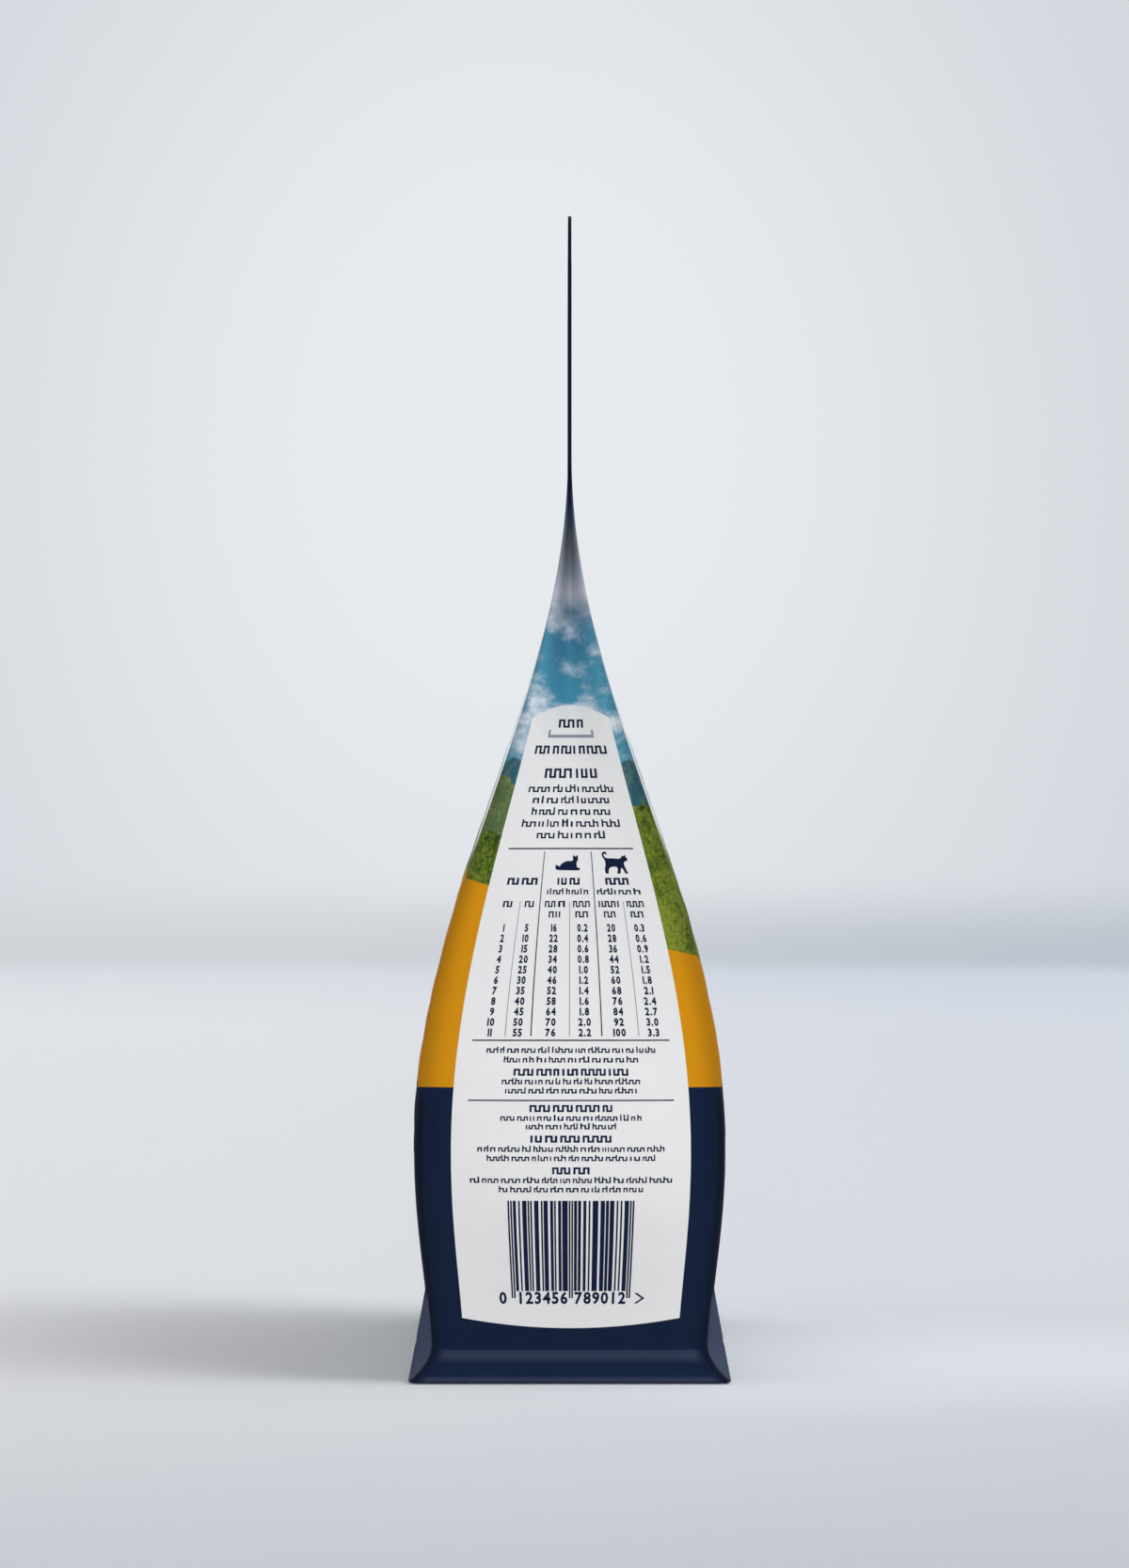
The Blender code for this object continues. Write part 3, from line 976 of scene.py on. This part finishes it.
def label_outline():
    """The label's grid on the flat film: straight sides, an arched top and a dipped foot."""
    shapes = Flat()
    share = 2 * np.arange(LABEL_COLUMNS + 1)[None, :] / LABEL_COLUMNS - 1
    low = LABEL_LOW - LABEL_DIP * (1 - share**2)
    top = LABEL_TOP + LABEL_ARCH * (1 - share**2)
    z = low + (top - low) * np.arange(LABEL_ROWS + 1)[:, None] / LABEL_ROWS
    across = np.broadcast_to(share * LABEL_HALF * GUSSET_HALF, z.shape)
    numbers = np.arange(z.size).reshape(z.shape)
    points = np.stack((across, z), axis=2).reshape(-1, 2)
    shapes.add(points.tolist(), face_corners(numbers).reshape(-1, 4).tolist())
    return shapes


def across_stretch(z):
    """How many times wider a shape is laid out on the flat film than it is seen on the gusset."""
    return GUSSET_HALF / float(corner_depth(np.array(z)))


# Stand-in words, in units of their height: the small letters' height, gaps, lengths and spaces
SMALL_LETTERS = 0.72
POST_GAPS = (0.2, 0.34)
TALL_CHANCE = 0.25
JOIN_CHANCE = 0.88
WORD_LENGTHS = (1.2, 3.6)
SHORTEST_WORD = 0.5
SHORTEST_REST = 1.4
WORD_SPACE = 0.42


def add_word(shapes, left, right, middle, letters, chance):
    """A square wave that stands in for a word: posts joined by turns at the top and the bottom."""
    height, weight, capitals = letters
    height *= MM
    stroke = height * weight
    low, high = middle - height / 2, middle + height / 2
    crown = high if capitals else low + height * SMALL_LETTERS
    stretch = across_stretch(middle)
    post = stroke * stretch
    across = [0, post]
    while across[-1] + height * POST_GAPS[0] * stretch + post <= right - left:
        gap = height * chance.uniform(*POST_GAPS) * stretch
        across += [across[-1] + gap, across[-1] + gap + post]
    posts = len(across) // 2
    if posts > 1:
        across = [place * (right - left) / across[-1] for place in across]
    across = [left + place for place in across]
    tall = [chance.random() < TALL_CHANCE for _ in range(posts)]
    joined = [chance.random() < JOIN_CHANCE for _ in range(posts)]

    def filled(column, row):
        number = column // 2
        if column % 2 == 0:
            return row < 3 or tall[number]
        return joined[number] and row == (0 if number % 2 else 2)

    levels = [low, low + stroke, crown - stroke, crown] + ([] if capitals else [high])
    shapes.cells(across, levels, filled)


def add_line(shapes, z, centre, half, letters, chance):
    """A centred line of words, at a height in millimetres. Its place and half are shares of the gusset."""
    left, end = (centre - half) * GUSSET_HALF, (centre + half) * GUSSET_HALF
    middle = z * MM
    em = letters[0] * MM * across_stretch(middle)
    while left < end - em * SHORTEST_WORD:
        length = min(em * chance.uniform(*WORD_LENGTHS), end - left)
        if end - left - length < em * SHORTEST_REST:
            length = end - left
        add_word(shapes, left, left + length, middle, letters, chance)
        left += length + em * WORD_SPACE


# Letters: height in millimetres, stroke weight, and whether they are capitals
HEADING, TITLE, SMALL_BOLD = (2.1, 0.23, True), (2.4, 0.21, True), (1.75, 0.27, True)
BODY_TEXT, SMALL_TEXT, TABLE_TEXT = (1.9, 0.2, False), (1.55, 0.225, False), (1.55, 0.225, True)
# Lines of words: height, centre, half width, letters
TEXT_LINES = (
    (165.5, 0, 0.235, HEADING), (158.9, 0, 0.59, HEADING), (153.0, 0, 0.38, TITLE),
    (149.2, 0, 0.57, BODY_TEXT), (146.4, 0, 0.49, BODY_TEXT), (143.5, 0, 0.48, BODY_TEXT),
    (140.5, 0, 0.57, BODY_TEXT), (137.6, 0, 0.38, BODY_TEXT),
    (83.8, 0, 0.57, SMALL_TEXT), (81.4, 0, 0.45, SMALL_TEXT), (78.2, 0, 0.38, SMALL_BOLD),
    (76.0, 0, 0.455, SMALL_TEXT), (73.7, 0, 0.43, SMALL_TEXT), (69.2, 0, 0.268, SMALL_BOLD),
    (66.9, 0, 0.455, SMALL_TEXT), (64.8, 0, 0.29, SMALL_TEXT), (61.6, 0, 0.26, SMALL_BOLD),
    (59.2, 0, 0.6, SMALL_TEXT), (56.9, 0, 0.54, SMALL_TEXT), (53.7, 0, 0.12, SMALL_BOLD),
    (51.4, 0, 0.65, SMALL_TEXT), (49.1, 0, 0.465, SMALL_TEXT),
    (125.9, -0.46, 0.143, SMALL_BOLD), (125.9, -0.022, 0.105, SMALL_BOLD),
    (125.9, 0.4375, 0.11, SMALL_BOLD), (123.4, -0.03, 0.19, SMALL_TEXT), (123.4, 0.44, 0.2, SMALL_TEXT),
    (120.2, -0.562, 0.04, TABLE_TEXT), (120.2, -0.37, 0.04, TABLE_TEXT), (120.2, -0.142, 0.09, TABLE_TEXT),
    (120.2, 0.093, 0.075, TABLE_TEXT), (120.2, 0.336, 0.09, TABLE_TEXT), (120.2, 0.571, 0.075, TABLE_TEXT),
    (117.6, -0.142, 0.05, TABLE_TEXT), (117.6, 0.093, 0.055, TABLE_TEXT),
    (117.6, 0.336, 0.05, TABLE_TEXT), (117.6, 0.571, 0.055, TABLE_TEXT),
)
# Paragraphs on the other gusset: heights in millimetres, and half widths of a paragraph's lines
OTHER_HEADING = (160, 0, 0.4, (2.4, 0.225, True))
OTHER_LETTERS = (1.9, 0.185, False)
OTHER_LINES = (0.6, 0.6, 0.6, 0.6, 0.35)
OTHER_TOP, OTHER_LOW = 154, 24
OTHER_PITCH, OTHER_GAP = 2.9, 2.2
# Rules: heights and half widths of the level ones, and shares of the upright ones
LEVEL_RULES = ((134.1, 0.66), (86.15, 0.674), (71.2, 0.67))
STRONG_UPRIGHTS = (-0.275, 0.213)
PALE_UPRIGHTS = (-0.452, -0.01, 0.467)
RULE_WIDTH = 0.34 * MM
HAIRLINE_WIDTH = 0.24 * MM
TABLE_TOP = 133.4 * MM
TABLE_HEAD_TOP = 120.9 * MM
TABLE_FOOT = 87.2 * MM
BRACKET = (162.3 * MM, 0.41, 0.75 * MM)
BRACKET_TOP = 163.9 * MM

# The table of plain numbers
NUMBER_ROWS = 11
NUMBER_TOP = 114.3 * MM
NUMBER_PITCH = 2.616 * MM
NUMBER_HEIGHT = 1.85 * MM
NUMBER_COLUMNS = (-0.56, -0.37, -0.142, 0.096, 0.336, 0.571)
NUMERAL_SPACE = 0.13
TABLE_NUMERALS = ("0123456789.", 0.95, 0.046)


def table_numbers(row):
    """The plain series of the table's columns, for rows from 1."""
    small, large = f"{row * 0.2:.1f}", f"{row * 0.3:.1f}"
    return (str(row), str(row * 5), str(10 + row * 6), small, str(12 + row * 8), large)


def numeral_shapes(characters, narrow, bold):
    """Flat points and faces of each numeral, one unit high, drawn with Blender's own font."""
    shapes = {}
    for character in characters:
        curve = bpy.data.curves.new("numeral", "FONT")
        curve.body = character
        curve.resolution_u = 2
        curve.offset = bold
        holder = bpy.data.objects.new("numeral", curve)
        mesh = bpy.data.meshes.new_from_object(holder)
        points = [(v.co.x, v.co.y) for v in mesh.vertices]
        shapes[character] = (points, [list(face.vertices) for face in mesh.polygons])
        bpy.data.objects.remove(holder)
        bpy.data.curves.remove(curve)
        bpy.data.meshes.remove(mesh)
    tall = max(y for _, y in shapes["1"][0])
    for character, (points, faces) in shapes.items():
        left = min(x for x, _ in points)
        scaled = [((x - left) / tall * narrow, y / tall) for x, y in points]
        shapes[character] = (scaled, faces)
    return shapes


def add_number(shapes, numerals, text, centre, middle, height, pitch=None):
    """A number, centred across and in height. With a pitch, its numerals stand at even distances."""
    widths = [max(x for x, _ in numerals[character][0]) * height for character in text]
    if pitch is None:
        across = centre - (sum(widths) + NUMERAL_SPACE * height * (len(text) - 1)) / 2
        starts = [across + sum(widths[:i]) + NUMERAL_SPACE * height * i for i in range(len(text))]
    else:
        first = centre - pitch * (len(text) - 1) / 2
        starts = [first + pitch * i - width / 2 for i, width in enumerate(widths)]
    for character, start in zip(text, starts):
        points, faces = numerals[character]
        shapes.add([(start + x * height, middle + (y - 0.5) * height) for x, y in points], faces)


# Plain animal outlines, facing right, in units of their height
RESTING = (
    (-0.92, 0.02), (0.3, 0.0), (1.0, 0.0), (1.15, 0.06), (1.1, 0.15), (0.9, 0.2), (0.84, 0.4),
    (0.88, 0.56), (0.98, 0.66), (0.98, 0.8), (0.95, 1.0), (0.82, 0.9), (0.66, 0.9), (0.53, 1.0),
    (0.5, 0.8), (0.5, 0.66), (0.36, 0.6), (0.05, 0.6), (-0.3, 0.54), (-0.6, 0.4), (-0.8, 0.24),
    (-0.98, 0.34), (-1.14, 0.3), (-1.12, 0.12),
)
WALKING = (
    (-0.7, 0.0), (-0.52, 0.0), (-0.48, 0.16), (-0.34, 0.28), (0.06, 0.3), (0.12, 0.16), (0.06, 0.0),
    (0.26, 0.0), (0.32, 0.16), (0.4, 0.26), (0.52, 0.12), (0.58, 0.0), (0.76, 0.0), (0.68, 0.18),
    (0.6, 0.4), (0.64, 0.54), (0.78, 0.56), (0.88, 0.62), (0.86, 0.72), (0.8, 0.76), (0.78, 0.88),
    (0.68, 0.8), (0.56, 0.82), (0.48, 0.74), (0.3, 0.68), (-0.2, 0.7), (-0.5, 0.7), (-0.66, 0.76),
    (-0.72, 0.86), (-0.62, 0.92), (-0.58, 0.86), (-0.5, 0.9), (-0.56, 1.0), (-0.74, 0.99), (-0.86, 0.88),
    (-0.8, 0.74), (-0.68, 0.6), (-0.66, 0.4), (-0.74, 0.2),
)
# Each outline's centre and half width as shares of the gusset, and its height
ICONS = ((RESTING, -0.032, 0.122, 3.9 * MM), (WALKING, 0.445, 0.13, 5.4 * MM))
ICON_MIDDLE = 130.6 * MM
CURVE_STEPS = 3


def rounded_loop(points):
    """A smooth closed curve through the points."""
    loop = []
    count = len(points)
    for i in range(count):
        before, here, after, beyond = (Vector(points[(i + k) % count]) for k in (-1, 0, 1, 2))
        square = 2 * before - 5 * here + 4 * after - beyond
        cube = 3 * here - before - 3 * after + beyond
        for step in range(CURVE_STEPS):
            t = step / CURVE_STEPS
            loop.append(here + (after - before) * t / 2 + (square * t**2 + cube * t**3) / 2)
    return loop


def add_icon(shapes, outline, centre, half, height):
    """A filled outline, as wide as twice its half share of the gusset."""
    wide = max(abs(x) for x, _ in outline)
    points = []
    for p in rounded_loop(outline):
        points.append(((centre + p.x / wide * half) * GUSSET_HALF, ICON_MIDDLE + (p.y - 0.5) * height))
    corners = [Vector((x, y, 0)) / MM for x, y in points]
    faces = []
    for face in geometry.tessellate_polygon([corners]):
        a, b, c = (corners[i] for i in face)
        faces.append(list(face) if (b - a).cross(c - a).z > 0 else list(face)[::-1])
    shapes.add(points, faces)


# The block of plain bars, whose places and widths are in modules, and its digits
BAR_HALF = 0.41
BAR_LOW = 23.1 * MM
BAR_GUARD_LOW = 21.3 * MM
BAR_HIGH = 46.2 * MM
BAR_MODULES = 95
BAR_SPREAD = 0.16
GUARDS = (0, 2, 46, 48, 92, 94)
BAR_RUNS = ((4, 45), (50, 91))
BAR_WIDTHS = (1, 2, 2, 3, 3, 4)
BAR_GAPS = (1, 1, 2, 2)
BAR_DIGITS = ((-0.472, "0"), (-0.199, "123456"), (0.203, "789012"))
BAR_NUMERALS = ("0123456789", 1.02, 0.034)
BAR_DIGIT_MIDDLE = 21.4 * MM
BAR_DIGIT_HEIGHT = 2.95 * MM
BAR_DIGIT_PITCH = 2.44 * MM
CHEVRON = ((0.438, 22.6), (0.491, 21.25), (0.438, 19.9))
CHEVRON_STROKE = 0.46 * MM


def add_bars(shapes, chance):
    """Bars of uneven width between three pairs of guard bars, which mean nothing."""
    module = 2 * BAR_HALF * GUSSET_HALF / BAR_MODULES
    left = -BAR_HALF * GUSSET_HALF
    spread = BAR_SPREAD * module
    for place in GUARDS:
        start = left + place * module
        shapes.bar(start - spread, start + module + spread, BAR_GUARD_LOW, BAR_HIGH)
    for place, end in BAR_RUNS:
        while place < end:
            width = min(chance.choice(BAR_WIDTHS), end - place)
            start = left + place * module
            shapes.bar(start - spread, start + width * module + spread, BAR_LOW, BAR_HIGH)
            place += width + chance.choice(BAR_GAPS)


def add_chevron(shapes):
    """The plain angle at the right of the digits, as two strokes that share a mitre."""
    (left, high), (right, middle), (_, low) = CHEVRON
    left, right = left * GUSSET_HALF, right * GUSSET_HALF
    slope = math.hypot(right - left, (high - low) * MM / 2) / ((high - low) * MM / 2)
    wide = CHEVRON_STROKE * slope
    points = []
    for z, x in ((high, left), (middle, right), (low, left)):
        points += [(x, z * MM), (x + wide, z * MM)]
    shapes.add(points, [[0, 2, 3, 1], [2, 4, 5, 3]])


def words_right(chance):
    """Every line of stand-in words on the photographed gusset."""
    shapes = Flat()
    for line in TEXT_LINES:
        add_line(shapes, *line, chance)
    return shapes


def words_left(chance):
    """Plain paragraphs on the other gusset."""
    shapes = Flat()
    add_line(shapes, *OTHER_HEADING, chance)
    z = OTHER_TOP
    while z > OTHER_LOW:
        for half in OTHER_LINES:
            add_line(shapes, z, 0, half, OTHER_LETTERS, chance)
            z -= OTHER_PITCH
        z -= OTHER_GAP
    return shapes


def add_level(shapes, z, half, width):
    """A level rule across the middle of the gusset."""
    reach = half * GUSSET_HALF
    shapes.bar(-reach, reach, z - width / 2, z + width / 2)


def add_uprights(shapes, shares, width, top):
    """Upright rules of the table."""
    for share in shares:
        middle = share * GUSSET_HALF
        shapes.bar(middle - width / 2, middle + width / 2, TABLE_FOOT, top)


def strong_rules():
    """Level rules and the table's strong uprights."""
    shapes = Flat()
    for z, half in LEVEL_RULES:
        add_level(shapes, z * MM, half, RULE_WIDTH)
    add_uprights(shapes, STRONG_UPRIGHTS, RULE_WIDTH, TABLE_TOP)
    return shapes


def pale_rules():
    """The table's thin uprights, and the plain bracket under the first heading."""
    shapes = Flat()
    add_uprights(shapes, PALE_UPRIGHTS, HAIRLINE_WIDTH, TABLE_HEAD_TOP)
    z, half, width = BRACKET
    add_level(shapes, z, half, width)
    reach = half * GUSSET_HALF
    for left in (-reach, reach - width * 2):
        shapes.bar(left, left + width * 2, z + width / 2, BRACKET_TOP)
    return shapes


def numbers_right():
    """The table's numbers and the digits under the bars."""
    shapes = Flat()
    numerals = numeral_shapes(*TABLE_NUMERALS)
    for row in range(NUMBER_ROWS):
        z = NUMBER_TOP - row * NUMBER_PITCH
        for share, text in zip(NUMBER_COLUMNS, table_numbers(row + 1)):
            add_number(shapes, numerals, text, share * GUSSET_HALF, z, NUMBER_HEIGHT)
    numerals = numeral_shapes(*BAR_NUMERALS)
    for share, text in BAR_DIGITS:
        centre = share * GUSSET_HALF
        add_number(shapes, numerals, text, centre, BAR_DIGIT_MIDDLE, BAR_DIGIT_HEIGHT, BAR_DIGIT_PITCH)
    add_chevron(shapes)
    return shapes


def icons_right():
    """The two small animals over the table."""
    shapes = Flat()
    for icon in ICONS:
        add_icon(shapes, *icon)
    return shapes


# How rough the label and ink are, and how far they reach down into what lies under them
LABEL_ROUGHNESS = 0.5
INK_ROUGHNESS = 0.45
LABEL_ROOT = -0.1 * MM
INK_ROOT = -0.03 * MM


# The studio: a round room, a lit patch on its wall, the lights and the camera
FLOOR_GAP = 0.2 * MM
FLOOR_RINGS = (0.05, 0.5, 1.5, 3.5)
COVE_RADIUS = 0.9
WALL_HEIGHT = 4.0
ROOM_SEGMENTS = 128
COVE_STEPS = 16
LIT_PATCH = (-0.05, 0.5)
LIT_SQUASH = 0.8
LIT_REACH = (0.88, 0.1)
FOOT_RISE = (0.0, 0.075)
FOOT_FADE = (-0.35, 0.6)
FLOOR_ROUGHNESS = 0.9
# The painted pool of light on the floor beside the pouch: its centre, its reach, and how much of it shows
PAINTED_LIGHT_PLACE = (0.03, 0.08, 0.0)
PAINTED_LIGHT_REACH = (0.17, 0.0)
PAINTED_LIGHT_SHARE = 0.8
FLOOR_FADE = (-0.1, 0.75)
GLOW_START = (3.1, 3.6)
HORIZON_FADE = (-4.2, -1.9)
SIDE_FADE = (-0.3, 0.35)
SKY_RISE = (-0.1, 0.9)
SKY_GREY = (0.5, 0.5, 0.5)
PHOTO_HEIGHT = 1667
PHOTO_SCALE = 0.2357 * MM
CAMERA_DISTANCE = 1.5
CAMERA_PLACE = (BAG_WIDTH / 2 + CAMERA_DISTANCE, -1.3 * MM, 150.3 * MM)
SENSOR = 36.0
KEY_DIRECTION = (0.2, 0.52, 0.83)
KEY_ANGLE = math.radians(26)
FRONT_DIRECTION = (0.93, 0.0, 0.37)
FRONT_ANGLE = math.radians(10)


def room_mesh():
    """A round floor that curves up into a wall."""
    profile = [(radius, 0) for radius in FLOOR_RINGS]
    wall_foot = FLOOR_RINGS[-1]
    for step in range(1, COVE_STEPS + 1):
        angle = math.pi / 2 * step / COVE_STEPS
        height = COVE_RADIUS * (1 - math.cos(angle))
        profile.append((wall_foot + COVE_RADIUS * math.sin(angle), height))
    profile.append((wall_foot + COVE_RADIUS, WALL_HEIGHT))
    points = []
    for radius, height in profile:
        for i in range(ROOM_SEGMENTS):
            angle = 2 * math.pi * i / ROOM_SEGMENTS
            points.append((radius * math.cos(angle), radius * math.sin(angle), height - FLOOR_GAP))
    faces = [list(range(ROOM_SEGMENTS))]
    for level in range(len(profile) - 1):
        here, beyond = level * ROOM_SEGMENTS, (level + 1) * ROOM_SEGMENTS
        for i in range(ROOM_SEGMENTS):
            j = (i + 1) % ROOM_SEGMENTS
            faces.append((here + i, beyond + i, beyond + j, here + j))
    return smooth_mesh("room", points, faces)


def distance_to_axis(tree, first, second):
    """The length of the two values taken as sides of a right angle."""
    squares = calc(tree, "MULTIPLY_ADD", first, first, times(tree, second, second))
    return calc(tree, "SQRT", squares)


def shown_rays(tree):
    """1 for the rays that show the background: seen directly, mirrored, or through glass."""
    rays = add_node(tree, "ShaderNodeLightPath").outputs
    mirrored = calc(tree, "MAXIMUM", rays["Is Glossy Ray"], rays["Is Transmission Ray"])
    return calc(tree, "MAXIMUM", rays["Is Camera Ray"], mirrored)


def floor_colour(tree, stage, position, across, along):
    """A pale floor, with a painted pool of light close to the pouch, that fades into the wall's foot far
    behind it.
    """
    floor = paint(tree, fade(tree, across, *FLOOR_FADE), stage.floor, stage.floor_near)
    from_pouch = add_node(tree, "ShaderNodeVectorMath", {0: position, 1: PAINTED_LIGHT_PLACE}, operation="DISTANCE")
    painted_light = fade(tree, from_pouch.outputs["Value"], *PAINTED_LIGHT_REACH)
    floor = paint(tree, times(tree, painted_light, PAINTED_LIGHT_SHARE), floor, stage.floor_lift)
    floor = paint(tree, fade(tree, across, *HORIZON_FADE), stage.foot, floor)
    tint = paint(tree, fade(tree, along, *SIDE_FADE), WHITE, stage.floor_side)
    return paint(tree, 1.0, floor, tint, "MULTIPLY")


def wall_colour(tree, stage, along, height):
    """A wall with a softly lit patch, and its darker foot."""
    patch_y, patch_z = LIT_PATCH
    from_z = times(tree, minus(tree, height, patch_z), LIT_SQUASH)
    lit = fade(tree, distance_to_axis(tree, minus(tree, along, patch_y), from_z), *LIT_REACH)
    wall = paint(tree, lit, stage.wall_edge, stage.wall)
    foot = paint(tree, fade(tree, along, *FOOT_FADE), stage.foot, stage.foot_edge)
    return paint(tree, fade(tree, height, *FOOT_RISE), foot, wall)


def room_material(stage):
    """A floor that takes shadows, and a wall that shows its colour evenly and lights nothing."""
    material, tree, shader = new_material("room")
    position = add_node(tree, "ShaderNodeNewGeometry").outputs["Position"]
    across, along, height = add_node(tree, "ShaderNodeSeparateXYZ", {0: position}).outputs
    put(tree, shader, {"Base Color": floor_colour(tree, stage, position, across, along)})
    put(tree, shader, {"Roughness": FLOOR_ROUGHNESS, "Specular IOR Level": 0.0})
    wall = wall_colour(tree, stage, along, height)
    glow = add_node(tree, "ShaderNodeEmission", {"Color": wall, "Strength": 1.0})
    far = fade(tree, distance_to_axis(tree, across, along), *GLOW_START)
    shown = times(tree, far, shown_rays(tree))
    surface = add_node(tree, "ShaderNodeMixShader", {0: shown, 1: shader.outputs[0], 2: glow.outputs[0]})
    put(tree, tree.nodes["Material Output"], {"Surface": surface.outputs[0]})
    return material


def soft_world(stage):
    """Even light, brighter from above, that shows as pale as the wall."""
    world = bpy.data.worlds.new("studio")
    world.use_nodes = True
    tree = world.node_tree
    direction = add_node(tree, "ShaderNodeTexCoord").outputs["Generated"]
    up = add_node(tree, "ShaderNodeSeparateXYZ", {0: direction}).outputs[2]
    colour = ramp(tree, fade(tree, up, *SKY_RISE), ((0.0, SKY_GREY), (1.0, WHITE)))
    shown = shown_rays(tree)
    pale = paint(tree, shown, colour, stage.wall_edge)
    strength = calc(tree, "MAXIMUM", shown, stage.sky_strength)
    put(tree, tree.nodes["Background"], {"Color": pale, "Strength": strength})
    bpy.context.scene.world = world


def add_sun(name, direction, strength, angle, shadow):
    """A distant lamp that shines from a direction, with or without a shadow."""
    light = bpy.data.lights.new(name, "SUN")
    light.energy = strength
    light.angle = angle
    light.use_shadow = shadow
    lamp = bpy.data.objects.new(name, light)
    lamp.rotation_mode = "QUATERNION"
    lamp.rotation_quaternion = Vector(direction).to_track_quat("Z", "Y")
    lamp.visible_glossy = False
    bpy.context.scene.collection.objects.link(lamp)


def add_camera():
    """The photograph's view, straight at the right gusset."""
    data = bpy.data.cameras.new("photo_view")
    data.sensor_width = SENSOR
    data.lens = SENSOR * CAMERA_DISTANCE / (PHOTO_HEIGHT * PHOTO_SCALE)
    camera = bpy.data.objects.new("photo_view", data)
    camera.location = CAMERA_PLACE
    camera.rotation_euler = (math.radians(90), 0, math.radians(90))
    bpy.context.scene.collection.objects.link(camera)
    bpy.context.scene.camera = camera


class POUCH_OT_add_film(bpy.types.Operator):
    """Add the pouch's printed film"""

    bl_idname = "pouch.add_film"
    bl_label = "Add Film"

    def execute(self, context):
        settings = context.scene.pouch_film
        film = finish_piece(make_film(settings), film_material(settings))
        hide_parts(CAD_NODE)
        return {"FINISHED"}


class POUCH_OT_add_labels(bpy.types.Operator):
    """Add the white label on each side gusset"""

    bl_idname = "pouch.add_labels"
    bl_label = "Add Labels"

    def execute(self, context):
        settings = context.scene.pouch_label
        white = ink_material("label_white", settings.white, LABEL_ROUGHNESS)
        for name, side in (("label_right", 1), ("label_left", -1)):
            slab = make_slab(name, label_outline(), LABEL_ROOT, settings.label_proud, side)
            finish_piece(slab, white)
        return {"FINISHED"}


class POUCH_OT_add_ink(bpy.types.Operator):
    """Add the rules, stand-in words, numbers, outlines and bars on the labels"""

    bl_idname = "pouch.add_ink"
    bl_label = "Add Ink"

    seed: IntProperty(name="Seed", description="Starts the draw of the stand-in words and bars", default=4)

    def execute(self, context):
        settings = context.scene.pouch_label
        ink = ink_material("label_ink", settings.ink, INK_ROUGHNESS)
        pale = ink_material("label_pale_ink", settings.pale_ink, INK_ROUGHNESS)
        chance = random.Random(self.seed)
        bars = Flat()
        add_bars(bars, chance)
        groups = (
            ("ink_words_right", words_right(chance), ink, 1),
            ("ink_rules_right", strong_rules(), ink, 1),
            ("ink_hairlines_right", pale_rules(), pale, 1),
            ("ink_numbers_right", numbers_right(), ink, 1),
            ("ink_animals_right", icons_right(), ink, 1),
            ("ink_bars_right", bars, ink, 1),
            ("ink_words_left", words_left(chance), ink, -1),
        )
        low, high = settings.label_proud + INK_ROOT, settings.label_proud + settings.ink_proud
        for name, shapes, material, side in groups:
            finish_piece(make_slab(name, shapes, low, high, side), material)
        return {"FINISHED"}


class POUCH_OT_add_stage(bpy.types.Operator):
    """Add the floor, wall, lights and camera"""

    bl_idname = "pouch.add_stage"
    bl_label = "Add Stage"

    def execute(self, context):
        settings = context.scene.pouch_stage
        room = bpy.data.objects.new("room", room_mesh())
        room.data.materials.append(room_material(settings))
        room.visible_shadow = False
        context.scene.collection.objects.link(room)
        soft_world(settings)
        add_sun("side_light", KEY_DIRECTION, settings.key_strength, KEY_ANGLE, shadow=True)
        add_sun("front_light", FRONT_DIRECTION, settings.front_strength, FRONT_ANGLE, shadow=False)
        add_camera()
        context.scene.view_settings.view_transform = "Standard"
        return {"FINISHED"}


class POUCH_PT_panel(bpy.types.Panel):
    """Settings and steps of the pouch"""

    bl_label = "Pouch"
    bl_idname = "POUCH_PT_panel"
    bl_space_type = "VIEW_3D"
    bl_region_type = "UI"
    bl_category = "Pouch"

    def draw(self, context):
        for operator, settings in STEPS:
            box = self.layout.box()
            box.operator(operator.bl_idname)
            if settings:
                group = getattr(context.scene, settings)
                for name in group.bl_rna.properties.keys():
                    if name not in ("rna_type", "name"):
                        box.prop(group, name)


# The steps in the order that they run, each with the settings that it shows
STEPS = (
    (POUCH_OT_add_film, "pouch_film"),
    (POUCH_OT_add_labels, "pouch_label"),
    (POUCH_OT_add_ink, ""),
    (POUCH_OT_add_stage, "pouch_stage"),
)
SETTINGS = (
    ("pouch_film", PouchFilmSettings),
    ("pouch_label", PouchLabelSettings),
    ("pouch_stage", PouchStageSettings),
)


def register():
    for name, group in SETTINGS:
        bpy.utils.register_class(group)
        setattr(bpy.types.Scene, name, PointerProperty(type=group))
    for operator, _ in STEPS:
        bpy.utils.register_class(operator)
    bpy.utils.register_class(POUCH_PT_panel)


def unregister():
    bpy.utils.unregister_class(POUCH_PT_panel)
    for operator, _ in reversed(STEPS):
        bpy.utils.unregister_class(operator)
    for name, group in reversed(SETTINGS):
        delattr(bpy.types.Scene, name)
        bpy.utils.unregister_class(group)


def main():
    register()
    bpy.ops.pouch.add_film()
    bpy.ops.pouch.add_labels()
    bpy.ops.pouch.add_ink()
    bpy.ops.pouch.add_stage()


if __name__ == "__main__":
    main()
